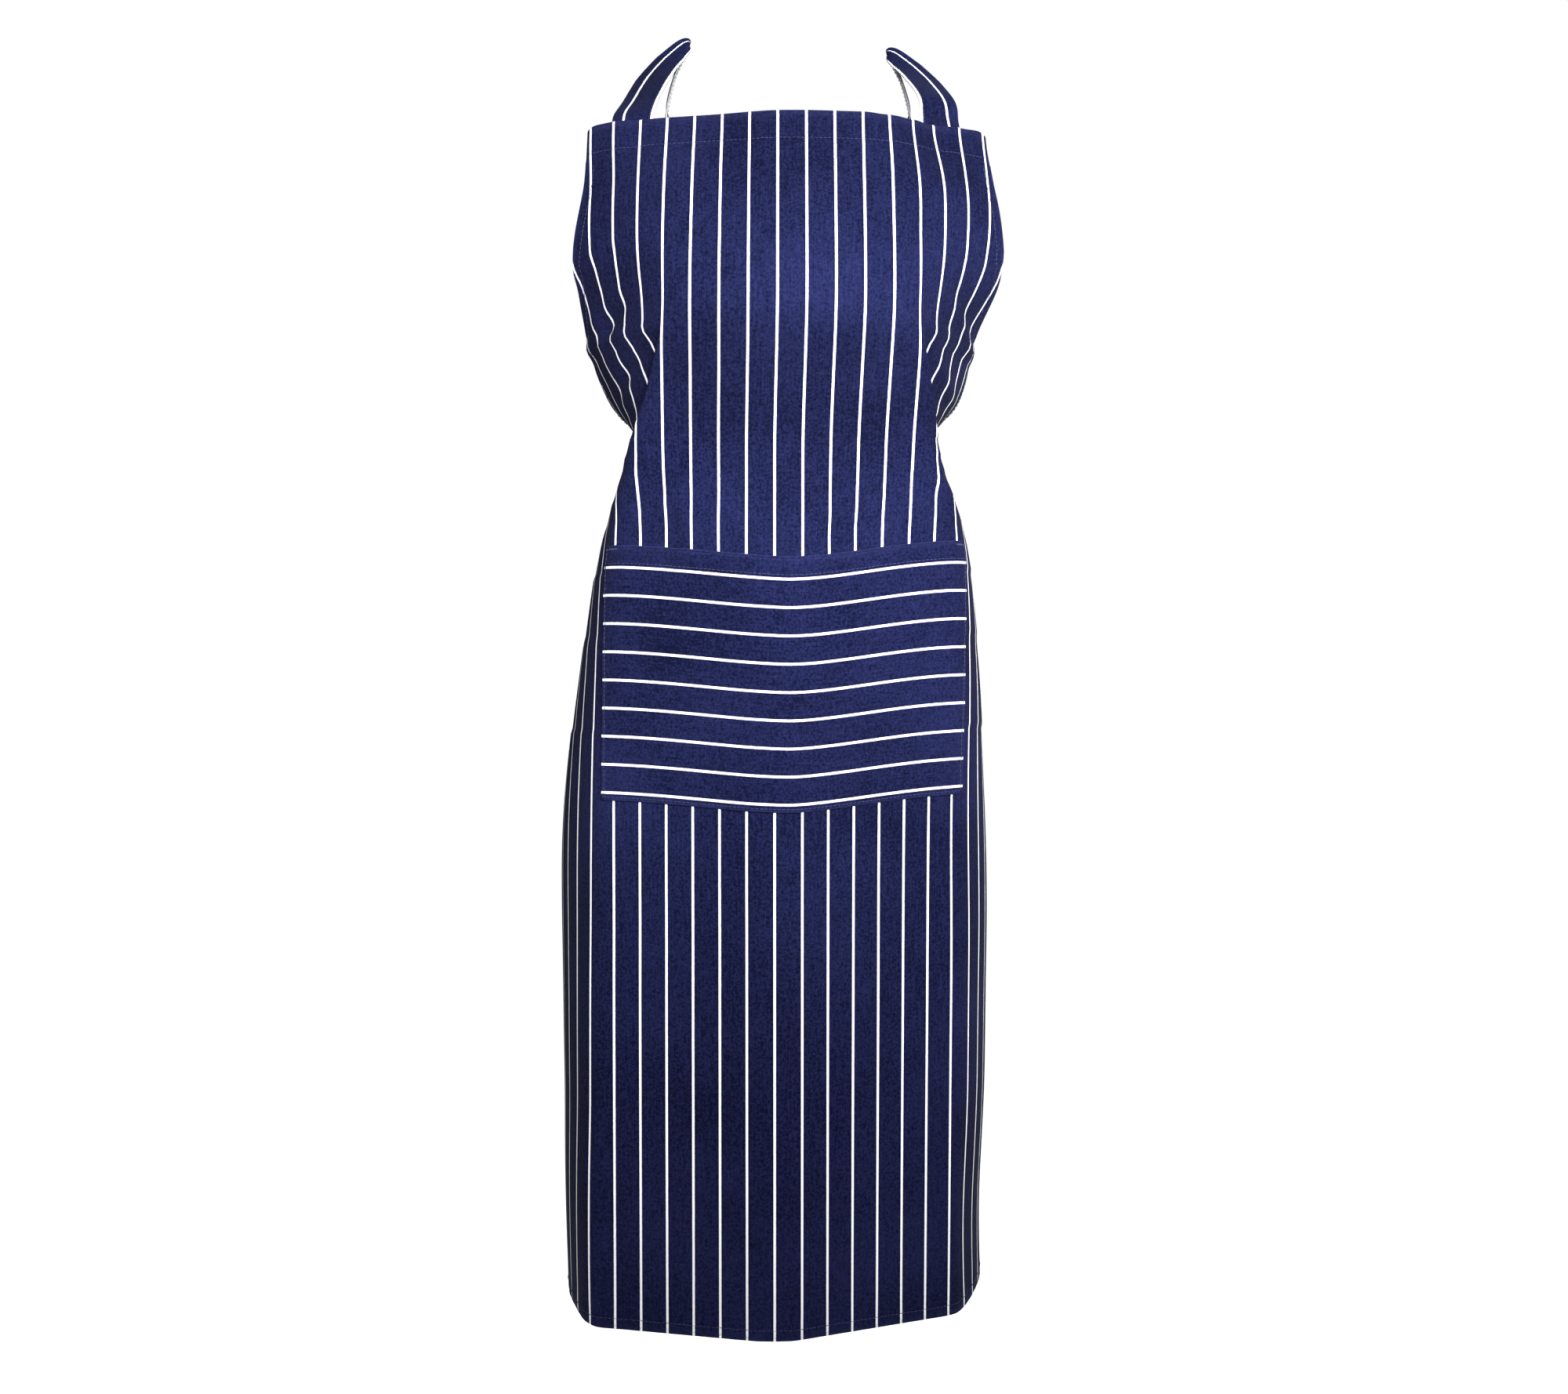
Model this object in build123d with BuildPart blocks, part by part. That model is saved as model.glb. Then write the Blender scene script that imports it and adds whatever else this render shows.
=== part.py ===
"""Full-length striped butcher apron, shaped as it hangs on a wearer.

The apron is cotton twill cut as one panel, with folded hems, a patch pocket, a sewn-in neck strap and
two waist ties knotted in a bow behind the waist.

Frame: millimetres, +Z up, +X towards the wearer's left, +Y towards the wearer's back.  The origin is
the middle of the neck strap where it bears on the nape.  Heights in the tables below are measured
upwards from the hem and depths backwards from the pocket's front, then moved by ORIGIN.
"""
from build123d import *
import math
import os
from functools import lru_cache

# ---------------------------------------------------------------- driving dimensions (mm, degrees)
STRIPE = 22.2               # repeat of the woven stripe, the cloth's own ruler (7/8 in)
PANEL_HEIGHT = 971.0        # bib top above the hem, as worn
HALF_WIDTH = 16 * STRIPE    # half the width of the cut panel
BIB_HALF = 7.65 * STRIPE    # half the width of the bib's top edge
ARMHOLE_HEIGHT = 260.0      # bib top down to the corners that carry the ties
WAIST = PANEL_HEIGHT - ARMHOLE_HEIGHT

CLOTH = 1.0                 # one layer of twill
GAP = 0.35                  # air between two layers that lie on each other
STRAP_THICK = 1.6           # a strap is cloth folded on itself
STRAP_WIDTH = 34.0
TIE_LENGTH = 900.0          # one waist tie as cut
TIE_IN_BOW = 380.0          # of that, its sewn end, taut run, knot and one loop

TOP_HEM = 25.0
BOTTOM_HEM = 10.0
SIDE_HEM = 10.0
THREAD = 0.5                # topstitching thread
THREAD_LIFT = 0.2           # the thread lies this far off the cloth
STITCH_INSET = 2.0          # topstitching in from a sewn edge

POCKET_HALF = 6.92 * STRIPE
POCKET_BOTTOM = 424.0
POCKET_TOP = 624.5
POCKET_HEM = 16.0
POCKET_GAPE = 10.0          # how far the empty pocket's mouth stands open

NAPE = (0.0, 192.0, 1002.0)  # the origin, in the table's own heights and depths

# ---------------------------------------------------------------- how the cloth stands, by height
# One row per level: height, depth of the front, where the front ridge lies, then for the left and the
# right half: how far the front turns back, where the cloth bends round the body, how far it has
# turned just past that bend, and how far at the panel's side edge.
LEVELS = (
    (0.0, 22.0, -11.0, (13.0, 155.0, 60.0, 118.0), (23.0, 164.0, 57.0, 118.0)),
    (250.0, 12.0, -11.0, (13.0, 151.0, 52.0, 122.0), (22.0, 163.0, 53.0, 124.0)),
    (424.0, 6.0, -11.0, (14.0, 145.0, 46.0, 132.0), (21.0, 160.0, 50.0, 134.0)),
    (624.0, 0.0, -8.0, (13.0, 144.0, 62.0, 150.0), (16.0, 157.0, 64.0, 152.0)),
    (711.0, 0.0, -4.0, (5.0, 127.0, 80.0, 156.0), (8.0, 128.0, 82.0, 152.0)),
    (760.0, -22.0, 0.0, (4.0, 110.0, 52.0, 122.0), (5.0, 108.0, 58.0, 124.0)),
    (812.0, -52.0, 0.0, (3.0, 97.0, 38.0, 102.0), (4.0, 98.0, 44.0, 108.0)),
    (871.0, -47.0, 0.0, (6.0, 92.0, 20.0, 76.0), (4.0, 92.0, 24.0, 78.0)),
    (971.0, -13.0, 0.0, (10.0, 116.0, 24.0, 60.0), (5.0, 78.0, 24.0, 60.0)),
)
RIDGE_ROUNDING = 26.0       # cloth taken up by the rounded front ridge
BEND_ROUNDING = 34.0        # cloth taken up by each bend round the body
SAMPLE = 13.0               # spacing of the points that carry a section's curve


def between(height, values):
    """Smooth curve through one value per level (Catmull-Rom), read at a height."""
    levels = [row[0] for row in LEVELS]
    last = len(levels) - 1
    height = min(max(height, levels[0]), levels[last])
    i = max(k for k in range(last) if levels[k] <= height)

    def slope(k):
        low, high = max(k - 1, 0), min(k + 1, last)
        return (values[high] - values[low]) / (levels[high] - levels[low])

    span = levels[i + 1] - levels[i]
    t = (height - levels[i]) / span
    return (
        values[i] * (2 * t**3 - 3 * t**2 + 1)
        + slope(i) * span * (t**3 - 2 * t**2 + t)
        + values[i + 1] * (3 * t**2 - 2 * t**3)
        + slope(i + 1) * span * (t**3 - t**2)
    )


def eased(t):
    """0 below 0, 1 above 1, smooth between."""
    t = min(max(t, 0.0), 1.0)
    return t * t * (3 - 2 * t)


@lru_cache(maxsize=None)
def cloth_path(height):
    """Points (x, depth, heading, side) every millimetre of cloth, left edge to right edge."""
    depth = between(height, [row[1] for row in LEVELS])
    ridge = round(between(height, [row[2] for row in LEVELS]))
    halves = {}
    for side, column in ((-1, 3), (1, 4)):
        front, bend, flank, edge = (between(height, [row[column][k] for row in LEVELS]) for k in range(4))
        x, y = ridge, depth
        reach = math.ceil(HALF_WIDTH) + 1 - side * ridge
        half = [(x, y, 0.0, side)]
        for step in range(reach):
            s = step + 0.5
            wrap = max(0.0, (s - bend) / (HALF_WIDTH - bend))
            heading = front * eased(s / RIDGE_ROUNDING)
            heading += (flank - front) * eased((s - bend) / BEND_ROUNDING + 0.5)
            heading += (edge - flank) * wrap
            x += side * math.cos(math.radians(heading))
            y += math.sin(math.radians(heading))
            half.append((x, y, heading, side))
        halves[side] = half
    return halves[-1][:0:-1] + halves[1]


def armhole_edge(height):
    """Half the panel's width at a height: full below the waist, a quarter ellipse above it."""
    if height <= WAIST:
        return HALF_WIDTH
    rise = (height - WAIST) / ARMHOLE_HEIGHT
    return HALF_WIDTH - (HALF_WIDTH - BIB_HALF) * math.sqrt(max(0.0, 1 - (1 - rise) ** 2))


# Levels where the cloth is drawn: evenly down the skirt, and by angle round the armhole's ellipse.
ARMHOLE_STEP = 9
SKIRT_LEVELS = [WAIST * k / 10 for k in range(11)]
BIB_LEVELS = [
    WAIST + ARMHOLE_HEIGHT * (1 - math.cos(math.radians(a))) for a in range(0, 91, ARMHOLE_STEP)
]
PANEL_LEVELS = SKIRT_LEVELS + BIB_LEVELS[1:]


def panel_edge(height):
    """Half width of the drawn panel, straight between its levels."""
    i = max(k for k in range(len(PANEL_LEVELS) - 1) if PANEL_LEVELS[k] <= height)
    low, high = PANEL_LEVELS[i], PANEL_LEVELS[i + 1]
    share = (height - low) / (high - low)
    return armhole_edge(low) * (1 - share) + armhole_edge(high) * share


def armhole_inset(height, width):
    """Distance across the cloth that a strip of one width takes up along the sloping armhole."""
    rise = min(max((height - WAIST) / ARMHOLE_HEIGHT, 0.0), 1.0)
    angle = math.acos(1 - rise)
    slope = (HALF_WIDTH - BIB_HALF) * math.cos(angle) / (ARMHOLE_HEIGHT * math.sin(angle))
    return width * math.hypot(1.0, slope)


def on_path(height, across):
    """Position (x, depth) and signed turn of the cloth at one drawn level."""
    path = cloth_path(height)
    place = across + (len(path) - 1) / 2
    i = min(max(int(math.floor(place)), 0), len(path) - 2)
    t = place - i
    (x0, y0, h0, side0), (x1, y1, h1, side1) = path[i], path[i + 1]
    return mixed((x0, y0, side0 * h0), (x1, y1, side1 * h1), t)


def mixed(a, b, t):
    return tuple(p + (q - p) * t for p, q in zip(a, b))


def cloth_point(height, across, outward=0.0):
    """The point at a distance across the cloth from its centre line, moved outward off the cloth.

    The panel is straight between two drawn levels, so every piece that lies on it is as well.
    """
    i = max(k for k in range(len(PANEL_LEVELS) - 1) if PANEL_LEVELS[k] <= height)
    low, high = PANEL_LEVELS[i], PANEL_LEVELS[i + 1]
    part = across / panel_edge(height)
    below = on_path(low, part * armhole_edge(low))
    above = on_path(high, part * armhole_edge(high))
    x, y, turn = mixed(below, above, (height - low) / (high - low))
    turn = math.radians(turn)
    x += outward * math.sin(turn)
    y -= outward * math.cos(turn)
    return Vector(x - NAPE[0], y - NAPE[1], height - NAPE[2])


def section(height, left, right, inner, outer, narrow=False):
    """Flat closed band of cloth at one height; inner and outer are functions of the place across."""
    count = 2 if narrow else max(3, round((right - left) / SAMPLE) + 1)
    places = [left + (right - left) * k / (count - 1) for k in range(count)]
    front = [cloth_point(height, s, outer(s)) for s in places]
    back = [cloth_point(height, s, inner(s)) for s in places]
    with BuildSketch(Plane.XY.offset(height - NAPE[2])) as band:
        with BuildLine():
            if narrow:
                Line((front[0].X, front[0].Y), (front[1].X, front[1].Y))
                Line((back[1].X, back[1].Y), (back[0].X, back[0].Y))
            else:
                Spline([(p.X, p.Y) for p in front])
                Spline([(p.X, p.Y) for p in reversed(back)])
            Line((front[-1].X, front[-1].Y), (back[-1].X, back[-1].Y))
            Line((back[0].X, back[0].Y), (front[0].X, front[0].Y))
        make_face()
    return band.sketch


def level(value):
    """A layer that lies at one distance off the cloth everywhere."""
    return lambda across: value


FACE = CLOTH / 2                      # outer face of the panel
LINING = -(CLOTH / 2 + GAP)           # first free place behind the panel
TAB_LAYER = (LINING - STRAP_THICK, LINING)
HEM_LAYER = (LINING - CLOTH, LINING)
FACING_LAYER = (TAB_LAYER[0] - GAP - CLOTH, TAB_LAYER[0] - GAP)


def levels_within(low, high, levels):
    return [low] + [h for h in levels if low + 1.0 < h < high - 1.0] + [high]


# ---------------------------------------------------------------- the panel
with BuildPart() as apron_panel:
    loft(
        [section(h, -HALF_WIDTH, HALF_WIDTH, level(-FACE), level(FACE)) for h in SKIRT_LEVELS],
        ruled=True,
    )
    loft(
        [section(h, -armhole_edge(h), armhole_edge(h), level(-FACE), level(FACE)) for h in BIB_LEVELS],
        ruled=True,
    )
apron_panel.part.label = "apron_panel"

# ---------------------------------------------------------------- hems: cloth folded to the inside
with BuildPart() as bib_top_hem:
    loft(
        [
            section(h, -BIB_HALF + 0.5, BIB_HALF - 0.5, level(FACING_LAYER[0]), level(FACING_LAYER[1]))
            for h in levels_within(PANEL_HEIGHT - TOP_HEM, PANEL_HEIGHT, BIB_LEVELS)
        ],
        ruled=True,
    )
bib_top_hem.part.label = "bib_top_hem"

with BuildPart() as bottom_hem:
    inset = HALF_WIDTH - SIDE_HEM - GAP
    loft(
        [section(h, -inset, inset, level(HEM_LAYER[0]), level(HEM_LAYER[1])) for h in (0.0, BOTTOM_HEM)],
        ruled=True,
    )
bottom_hem.part.label = "bottom_hem"


def side_hem(side):
    """Folded edge down one side of the skirt."""
    edges = sorted((side * HALF_WIDTH, side * (HALF_WIDTH - SIDE_HEM)))
    layer = (level(HEM_LAYER[0]), level(HEM_LAYER[1]))
    return [section(h, *edges, *layer, narrow=True) for h in SKIRT_LEVELS[:-1]]


with BuildPart() as side_hem_left:
    loft(side_hem(-1), ruled=True)
side_hem_left.part.label = "side_hem_left"

with BuildPart() as side_hem_right:
    loft(side_hem(1), ruled=True)
side_hem_right.part.label = "side_hem_right"


def armhole_levels(top):
    """Levels up the armhole, each of the panel's spans cut in four, up to the bib's top hem."""
    levels = []
    for low, high in zip(BIB_LEVELS[1:], BIB_LEVELS[2:]):
        levels += [low + (high - low) * k / 4 for k in range(4)]
    return [h for h in levels if h < top - 1.0] + [top]


def armhole_hem(side):
    """Folded edge along one armhole, from just above the tie corner up to the bib's top hem."""
    heights = armhole_levels(PANEL_HEIGHT - TOP_HEM - GAP)
    bands = []
    for h in heights:
        edge = panel_edge(h)
        ends = sorted((side * edge, side * (edge - armhole_inset(h, SIDE_HEM))))
        bands.append(section(h, *ends, level(HEM_LAYER[0]), level(HEM_LAYER[1])))
    return bands


with BuildPart() as armhole_hem_left:
    loft(armhole_hem(-1), ruled=True)
armhole_hem_left.part.label = "armhole_hem_left"

with BuildPart() as armhole_hem_right:
    loft(armhole_hem(1), ruled=True)
armhole_hem_right.part.label = "armhole_hem_right"

# ---------------------------------------------------------------- patch pocket
TURNING_LAYER = (FACE + GAP, FACE + GAP + CLOTH)
POCKET_LEVELS = [POCKET_BOTTOM + (POCKET_TOP - POCKET_BOTTOM) * k / 8 for k in range(9)]


def gape(height):
    """How far the pocket stands off the panel: shut at its sewn edges, open at the mouth."""
    rise = eased((height - POCKET_BOTTOM - BOTTOM_HEM) / 90.0)
    return lambda s: TURNING_LAYER[1] + GAP + POCKET_GAPE * rise * (1 - (s / POCKET_HALF) ** 4)


def pocket_band(height, inner_add, outer_add, half=POCKET_HALF):
    stand = gape(height)
    return section(height, -half, half, lambda s: stand(s) + inner_add, lambda s: stand(s) + outer_add)


with BuildPart() as pocket_panel:
    loft([pocket_band(h, 0.0, CLOTH) for h in POCKET_LEVELS], ruled=True)
pocket_panel.part.label = "pocket_panel"

with BuildPart() as pocket_mouth_hem:
    half = POCKET_HALF - BOTTOM_HEM - GAP
    loft(
        [
            pocket_band(h, -GAP - CLOTH, -GAP, half)
            for h in levels_within(POCKET_TOP - POCKET_HEM, POCKET_TOP, POCKET_LEVELS)
        ],
        ruled=True,
    )
pocket_mouth_hem.part.label = "pocket_mouth_hem"

with BuildPart() as pocket_turnings:
    for side in (-1, 1):
        edges = sorted((side * POCKET_HALF, side * (POCKET_HALF - BOTTOM_HEM)))
        loft(
            [section(h, *edges, level(TURNING_LAYER[0]), level(TURNING_LAYER[1])) for h in POCKET_LEVELS],
            ruled=True,
        )
    loft(
        [
            section(h, -POCKET_HALF, POCKET_HALF, level(TURNING_LAYER[0]), level(TURNING_LAYER[1]))
            for h in (POCKET_BOTTOM, POCKET_BOTTOM + BOTTOM_HEM)
        ],
        ruled=True,
    )
pocket_turnings.part.label = "pocket_turnings"

# ---------------------------------------------------------------- ribbons: straps and ties


def through(points, t):
    """Smooth curve (Catmull-Rom) through points, t counting them from 0."""
    i = min(int(t), len(points) - 2)
    u = t - i
    a, b = points[max(i - 1, 0)], points[i]
    c, d = points[i + 1], points[min(i + 2, len(points) - 1)]
    return b + (c - a) * 0.5 * u + (a * 2 - b * 5 + c * 4 - d) * 0.5 * u**2 + (b * 3 - a - c * 3 + d) * 0.5 * u**3


def ribbon_sections(points, widths, width=STRAP_WIDTH, thick=STRAP_THICK, per_span=5):
    """Flat strap cross-sections along a path; widths point across the strap at each path point."""
    count = (len(points) - 1) * per_span
    bands = []
    for k in range(count + 1):
        t = k / per_span
        ahead = through(points, min(t + 0.05, len(points) - 1.0))
        behind = through(points, max(t - 0.05, 0.0))
        along = (ahead - behind).normalized()
        across = through(widths, t)
        across = (across - along * across.dot(along)).normalized()
        with BuildSketch(Plane(through(points, t), x_dir=across, z_dir=along)) as band:
            Rectangle(width, thick)
        bands.append(band.sketch)
    return bands


def place(x, depth, height):
    return Vector(x - NAPE[0], depth - NAPE[1], height - NAPE[2])


# The neck strap, left half: from the bib's top, over the shoulder beside the neck, to the nape.
STRAP_ACROSS = 131.0        # middle of the strap's seam, across the cloth from the centre
STRAP_LEAN = 8.0            # how far the sewn end leans outward below the seam
SEAM_RISE = 1.0             # the free strap starts this far above the bib
LEFT_WIDTHS = (
    Vector(0.91, -0.38, -0.10),
    Vector(0.86, -0.42, -0.12),
    Vector(0.82, -0.55, 0.02),
    Vector(0.80, -0.45, 0.30),
    Vector(0.52, -0.20, 0.80),
    Vector(0.30, -0.15, 0.90),
    Vector(0.22, -0.20, 0.92),
    Vector(0.10, -0.22, 0.94),
    Vector(0.00, -0.22, 0.95),
)
LEFT_RISE = (
    place(-115, 50, 1016),
    place(-102, 76, 1050),
    place(-87, 104, 1066),
    place(-85, 132, 1053),
    place(-79, 158, 1031),
    place(-60, 180, 1011),
    place(-30, 190, 1003),
    place(0, 192, 1002),
)


def strap_seam(side):
    """Where the free strap starts, just above the middle of its sewn end."""
    seam = cloth_point(PANEL_HEIGHT, side * STRAP_ACROSS, sum(TAB_LAYER) / 2)
    return seam + Vector(0, 0, SEAM_RISE)


def mirrored(vectors):
    return [Vector(-v.X, v.Y, v.Z) for v in vectors]


strap_points = [strap_seam(-1), *LEFT_RISE, *mirrored(LEFT_RISE[-2::-1]), strap_seam(1)]
strap_widths = [*LEFT_WIDTHS, *mirrored(LEFT_WIDTHS[-2::-1])]

with BuildPart() as neck_strap:
    loft(ribbon_sections(strap_points, strap_widths), ruled=True)
neck_strap.part.label = "neck_strap"


def strap_end(side):
    """The end of the neck strap sewn between the bib and its folded top hem."""
    half = STRAP_WIDTH / 2
    bands = []
    for h, lean in ((PANEL_HEIGHT - TOP_HEM + 3.0, STRAP_LEAN), (PANEL_HEIGHT - 0.5, 0.0)):
        middle = side * (STRAP_ACROSS + lean)
        bands.append(section(h, middle - half, middle + half, level(TAB_LAYER[0]), level(TAB_LAYER[1])))
    return bands


with BuildPart() as strap_end_left:
    loft(strap_end(-1), ruled=True)
strap_end_left.part.label = "strap_end_left"

with BuildPart() as strap_end_right:
    loft(strap_end(1), ruled=True)
strap_end_right.part.label = "strap_end_right"

# ---------------------------------------------------------------- waist ties and their bow
TIE_HEIGHT = WAIST - STRAP_WIDTH / 2 - 3.0
TIE_OVERLAP = 22.0          # how much of the tie is sewn on the panel's corner
KNOT_SIZE = (30.0, 26.0, 40.0)
KNOT_BEHIND = 14.0          # the knot's middle behind the panel's corners
TIE_FORWARD = 7.0           # the taut ties enter the front of the knot
LOOP_BEHIND = 6.0           # the bow's loops leave its back
corners = [cloth_point(TIE_HEIGHT, side * HALF_WIDTH) for side in (-1, 1)]
knot = Vector(0.0, max(point.Y for point in corners) + KNOT_BEHIND, TIE_HEIGHT - NAPE[2])


def tie_run(side):
    """A tie's middle line and the direction across it: sewn on the corner, then straight to the knot."""
    off = FACE + GAP + 0.15 + STRAP_THICK / 2
    half = STRAP_WIDTH / 2
    middles = []
    widths = []
    for k in range(6):
        across = side * (HALF_WIDTH - TIE_OVERLAP + (TIE_OVERLAP - 1.0) * k / 5)
        upper = cloth_point(TIE_HEIGHT + half, across, off)
        lower = cloth_point(TIE_HEIGHT - half, across, off)
        middles.append((upper + lower) * 0.5)
        widths.append((upper - lower).normalized())
    end = Vector(side * (KNOT_SIZE[0] / 2 + 1.0), knot.Y - TIE_FORWARD, knot.Z)
    start = middles[-1]
    for share in (0.3, 0.65, 1.0):
        middles.append(start + (end - start) * share)
        widths.append(widths[5] * (1 - share) + Vector(0, 0, share))
    return middles, widths


with BuildPart() as waist_tie_left:
    loft(ribbon_sections(*tie_run(-1), per_span=2), ruled=True)
waist_tie_left.part.label = "waist_tie_left"

with BuildPart() as waist_tie_right:
    loft(ribbon_sections(*tie_run(1), per_span=2), ruled=True)
waist_tie_right.part.label = "waist_tie_right"

with BuildPart() as bow_knot:
    with BuildSketch(Plane.XY.offset(knot.Z - KNOT_SIZE[2] / 2)):
        with Locations((knot.X, knot.Y)):
            RectangleRounded(KNOT_SIZE[0], KNOT_SIZE[1], 8.0)
    extrude(amount=KNOT_SIZE[2])
    fillet(bow_knot.faces().sort_by(Axis.Z)[0].edges() + bow_knot.faces().sort_by(Axis.Z)[-1].edges(), 6.0)
bow_knot.part.label = "bow_knot"

LOOP_LENGTH = 112.0
LOOP_BELLY = 10.0
LOOP_DROOP = 22.0
LOOP_START = KNOT_SIZE[0] / 2 + 11.0
LOOP_RAISED = 14.0          # the loops leave the knot above its middle


def loop_outline(inset):
    """Half of a bow loop seen edge-on: narrow at the knot, full near its far end."""
    return [
        (LOOP_START + inset, 2.2 - inset * 0.6),
        (LOOP_START + 30.0, 8.0 - inset),
        (LOOP_START + 72.0, LOOP_BELLY - inset),
        (LOOP_START + 100.0, 9.5 - inset),
        (LOOP_START + LOOP_LENGTH - inset, 0.0),
    ]


def loop_frame(side):
    droop = math.radians(LOOP_DROOP)
    outward = Vector(side * math.cos(droop), 0, -math.sin(droop))
    across = Vector(side * math.sin(droop), 0, math.cos(droop))
    middle = knot + Vector(0, LOOP_BEHIND, LOOP_RAISED)
    return Plane(middle - across * (STRAP_WIDTH / 2), x_dir=outward, z_dir=across)


def loop_ring(inset):
    """Closed outline of the loop, drawn with one smooth curve and a short straight at the knot."""
    upper = loop_outline(inset)
    lower = [(x, -y) for x, y in reversed(upper[:-1])]
    Spline(upper + lower)
    Line(lower[-1], upper[0])


with BuildPart() as bow_loop_left:
    with BuildSketch(loop_frame(-1)):
        with BuildLine():
            loop_ring(0.0)
        make_face()
    extrude(amount=STRAP_WIDTH)
    with BuildSketch(loop_frame(-1)):
        with BuildLine():
            loop_ring(STRAP_THICK)
        make_face()
    extrude(amount=STRAP_WIDTH, mode=Mode.SUBTRACT)
bow_loop_left.part.label = "bow_loop_left"

with BuildPart() as bow_loop_right:
    with BuildSketch(loop_frame(1)):
        with BuildLine():
            loop_ring(0.0)
        make_face()
    extrude(amount=STRAP_WIDTH)
    with BuildSketch(loop_frame(1)):
        with BuildLine():
            loop_ring(STRAP_THICK)
        make_face()
    extrude(amount=STRAP_WIDTH, mode=Mode.SUBTRACT)
bow_loop_right.part.label = "bow_loop_right"

# The tails hang side by side from under the knot.
TAIL_LENGTH = TIE_LENGTH - TIE_IN_BOW
TAIL_TOP = knot.Z - KNOT_SIZE[2] / 2 - 2.5
TAIL_APART = STRAP_WIDTH / 2 + 2.0
TAIL_SHAPE = (              # drift outward, sway in depth, share of the length hung so far
    (0.0, 0.0, 0.0),
    (1.0, 1.5, 0.2),
    (4.0, 3.0, 0.42),
    (9.0, 2.0, 0.66),
    (11.0, -1.0, 0.85),
    (11.5, -2.0, 1.0),
)


def tail_points(side):
    return [
        Vector(side * (TAIL_APART + drift), knot.Y + sway, TAIL_TOP - TAIL_LENGTH * drop)
        for drift, sway, drop in TAIL_SHAPE
    ]


TAIL_WIDTHS = [Vector(1, 0, 0)] * len(TAIL_SHAPE)

with BuildPart() as tie_tail_left:
    loft(ribbon_sections(tail_points(-1), TAIL_WIDTHS, per_span=4), ruled=True)
tie_tail_left.part.label = "tie_tail_left"

with BuildPart() as tie_tail_right:
    loft(ribbon_sections(tail_points(1), TAIL_WIDTHS, per_span=4), ruled=True)
tie_tail_right.part.label = "tie_tail_right"

# ---------------------------------------------------------------- topstitching and bar tacks
THREAD_LAYER = (FACE + THREAD_LIFT, FACE + THREAD_LIFT + THREAD)


def stitch_row(height, left, right, layer=THREAD_LAYER):
    """A level row of topstitching, one thread high."""
    bands = [section(h, left, right, level(layer[0]), level(layer[1])) for h in (height, height + THREAD)]
    return bands


def edge_stitch(side, heights, inset):
    """Topstitching that follows the panel's edge down one side."""
    bands = []
    for h in heights:
        middle = side * (panel_edge(h) - inset(h))
        ends = (middle - THREAD / 2, middle + THREAD / 2)
        bands.append(section(h, *ends, level(THREAD_LAYER[0]), level(THREAD_LAYER[1])))
    return bands


with BuildPart() as top_hem_stitching:
    loft(stitch_row(PANEL_HEIGHT - TOP_HEM + STITCH_INSET, -BIB_HALF + 1.0, BIB_HALF - 1.0), ruled=True)
top_hem_stitching.part.label = "top_hem_stitching"

with BuildPart() as bottom_hem_stitching:
    loft(stitch_row(BOTTOM_HEM - STITCH_INSET, -HALF_WIDTH + 1.0, HALF_WIDTH - 1.0), ruled=True)
bottom_hem_stitching.part.label = "bottom_hem_stitching"

with BuildPart() as side_hem_stitching:
    for side in (-1, 1):
        heights = [BOTTOM_HEM + 2.0] + SKIRT_LEVELS[1:-1]
        loft(edge_stitch(side, heights, level(SIDE_HEM - STITCH_INSET)), ruled=True)
side_hem_stitching.part.label = "side_hem_stitching"

with BuildPart() as armhole_stitching:
    for side in (-1, 1):
        heights = armhole_levels(PANEL_HEIGHT - TOP_HEM - 1.0)
        loft(edge_stitch(side, heights, lambda h: armhole_inset(h, SIDE_HEM - STITCH_INSET)), ruled=True)
armhole_stitching.part.label = "armhole_stitching"


def pocket_thread(height, left, right):
    stand = gape(height)
    under = CLOTH + THREAD_LIFT
    return section(height, left, right, lambda s: stand(s) + under, lambda s: stand(s) + under + THREAD)


with BuildPart() as pocket_stitching:
    for side in (-1, 1):
        middle = side * (POCKET_HALF - STITCH_INSET)
        heights = [POCKET_BOTTOM + STITCH_INSET + 1.0] + POCKET_LEVELS[1:-1] + [POCKET_TOP - 1.0]
        loft([pocket_thread(h, middle - THREAD / 2, middle + THREAD / 2) for h in heights], ruled=True)
    low = POCKET_BOTTOM + STITCH_INSET
    inner = POCKET_HALF - STITCH_INSET
    loft([pocket_thread(h, -inner, inner) for h in (low, low + THREAD)], ruled=True)
pocket_stitching.part.label = "pocket_stitching"

with BuildPart() as pocket_mouth_stitching:
    low = POCKET_TOP - POCKET_HEM + STITCH_INSET
    inner = POCKET_HALF - STITCH_INSET - 1.0
    loft([pocket_thread(h, -inner, inner) for h in (low, low + THREAD)], ruled=True)
pocket_mouth_stitching.part.label = "pocket_mouth_stitching"

BAR_TACK = 9.0
with BuildPart() as pocket_bar_tacks:
    for side in (-1, 1):
        edges = sorted((side * (POCKET_HALF - 4.5), side * (POCKET_HALF - 4.5 - BAR_TACK)))
        heights = (POCKET_TOP - 3.5, POCKET_TOP - 1.5)
        loft([pocket_thread(h, *edges) for h in heights], ruled=True)
pocket_bar_tacks.part.label = "pocket_bar_tacks"

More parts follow.
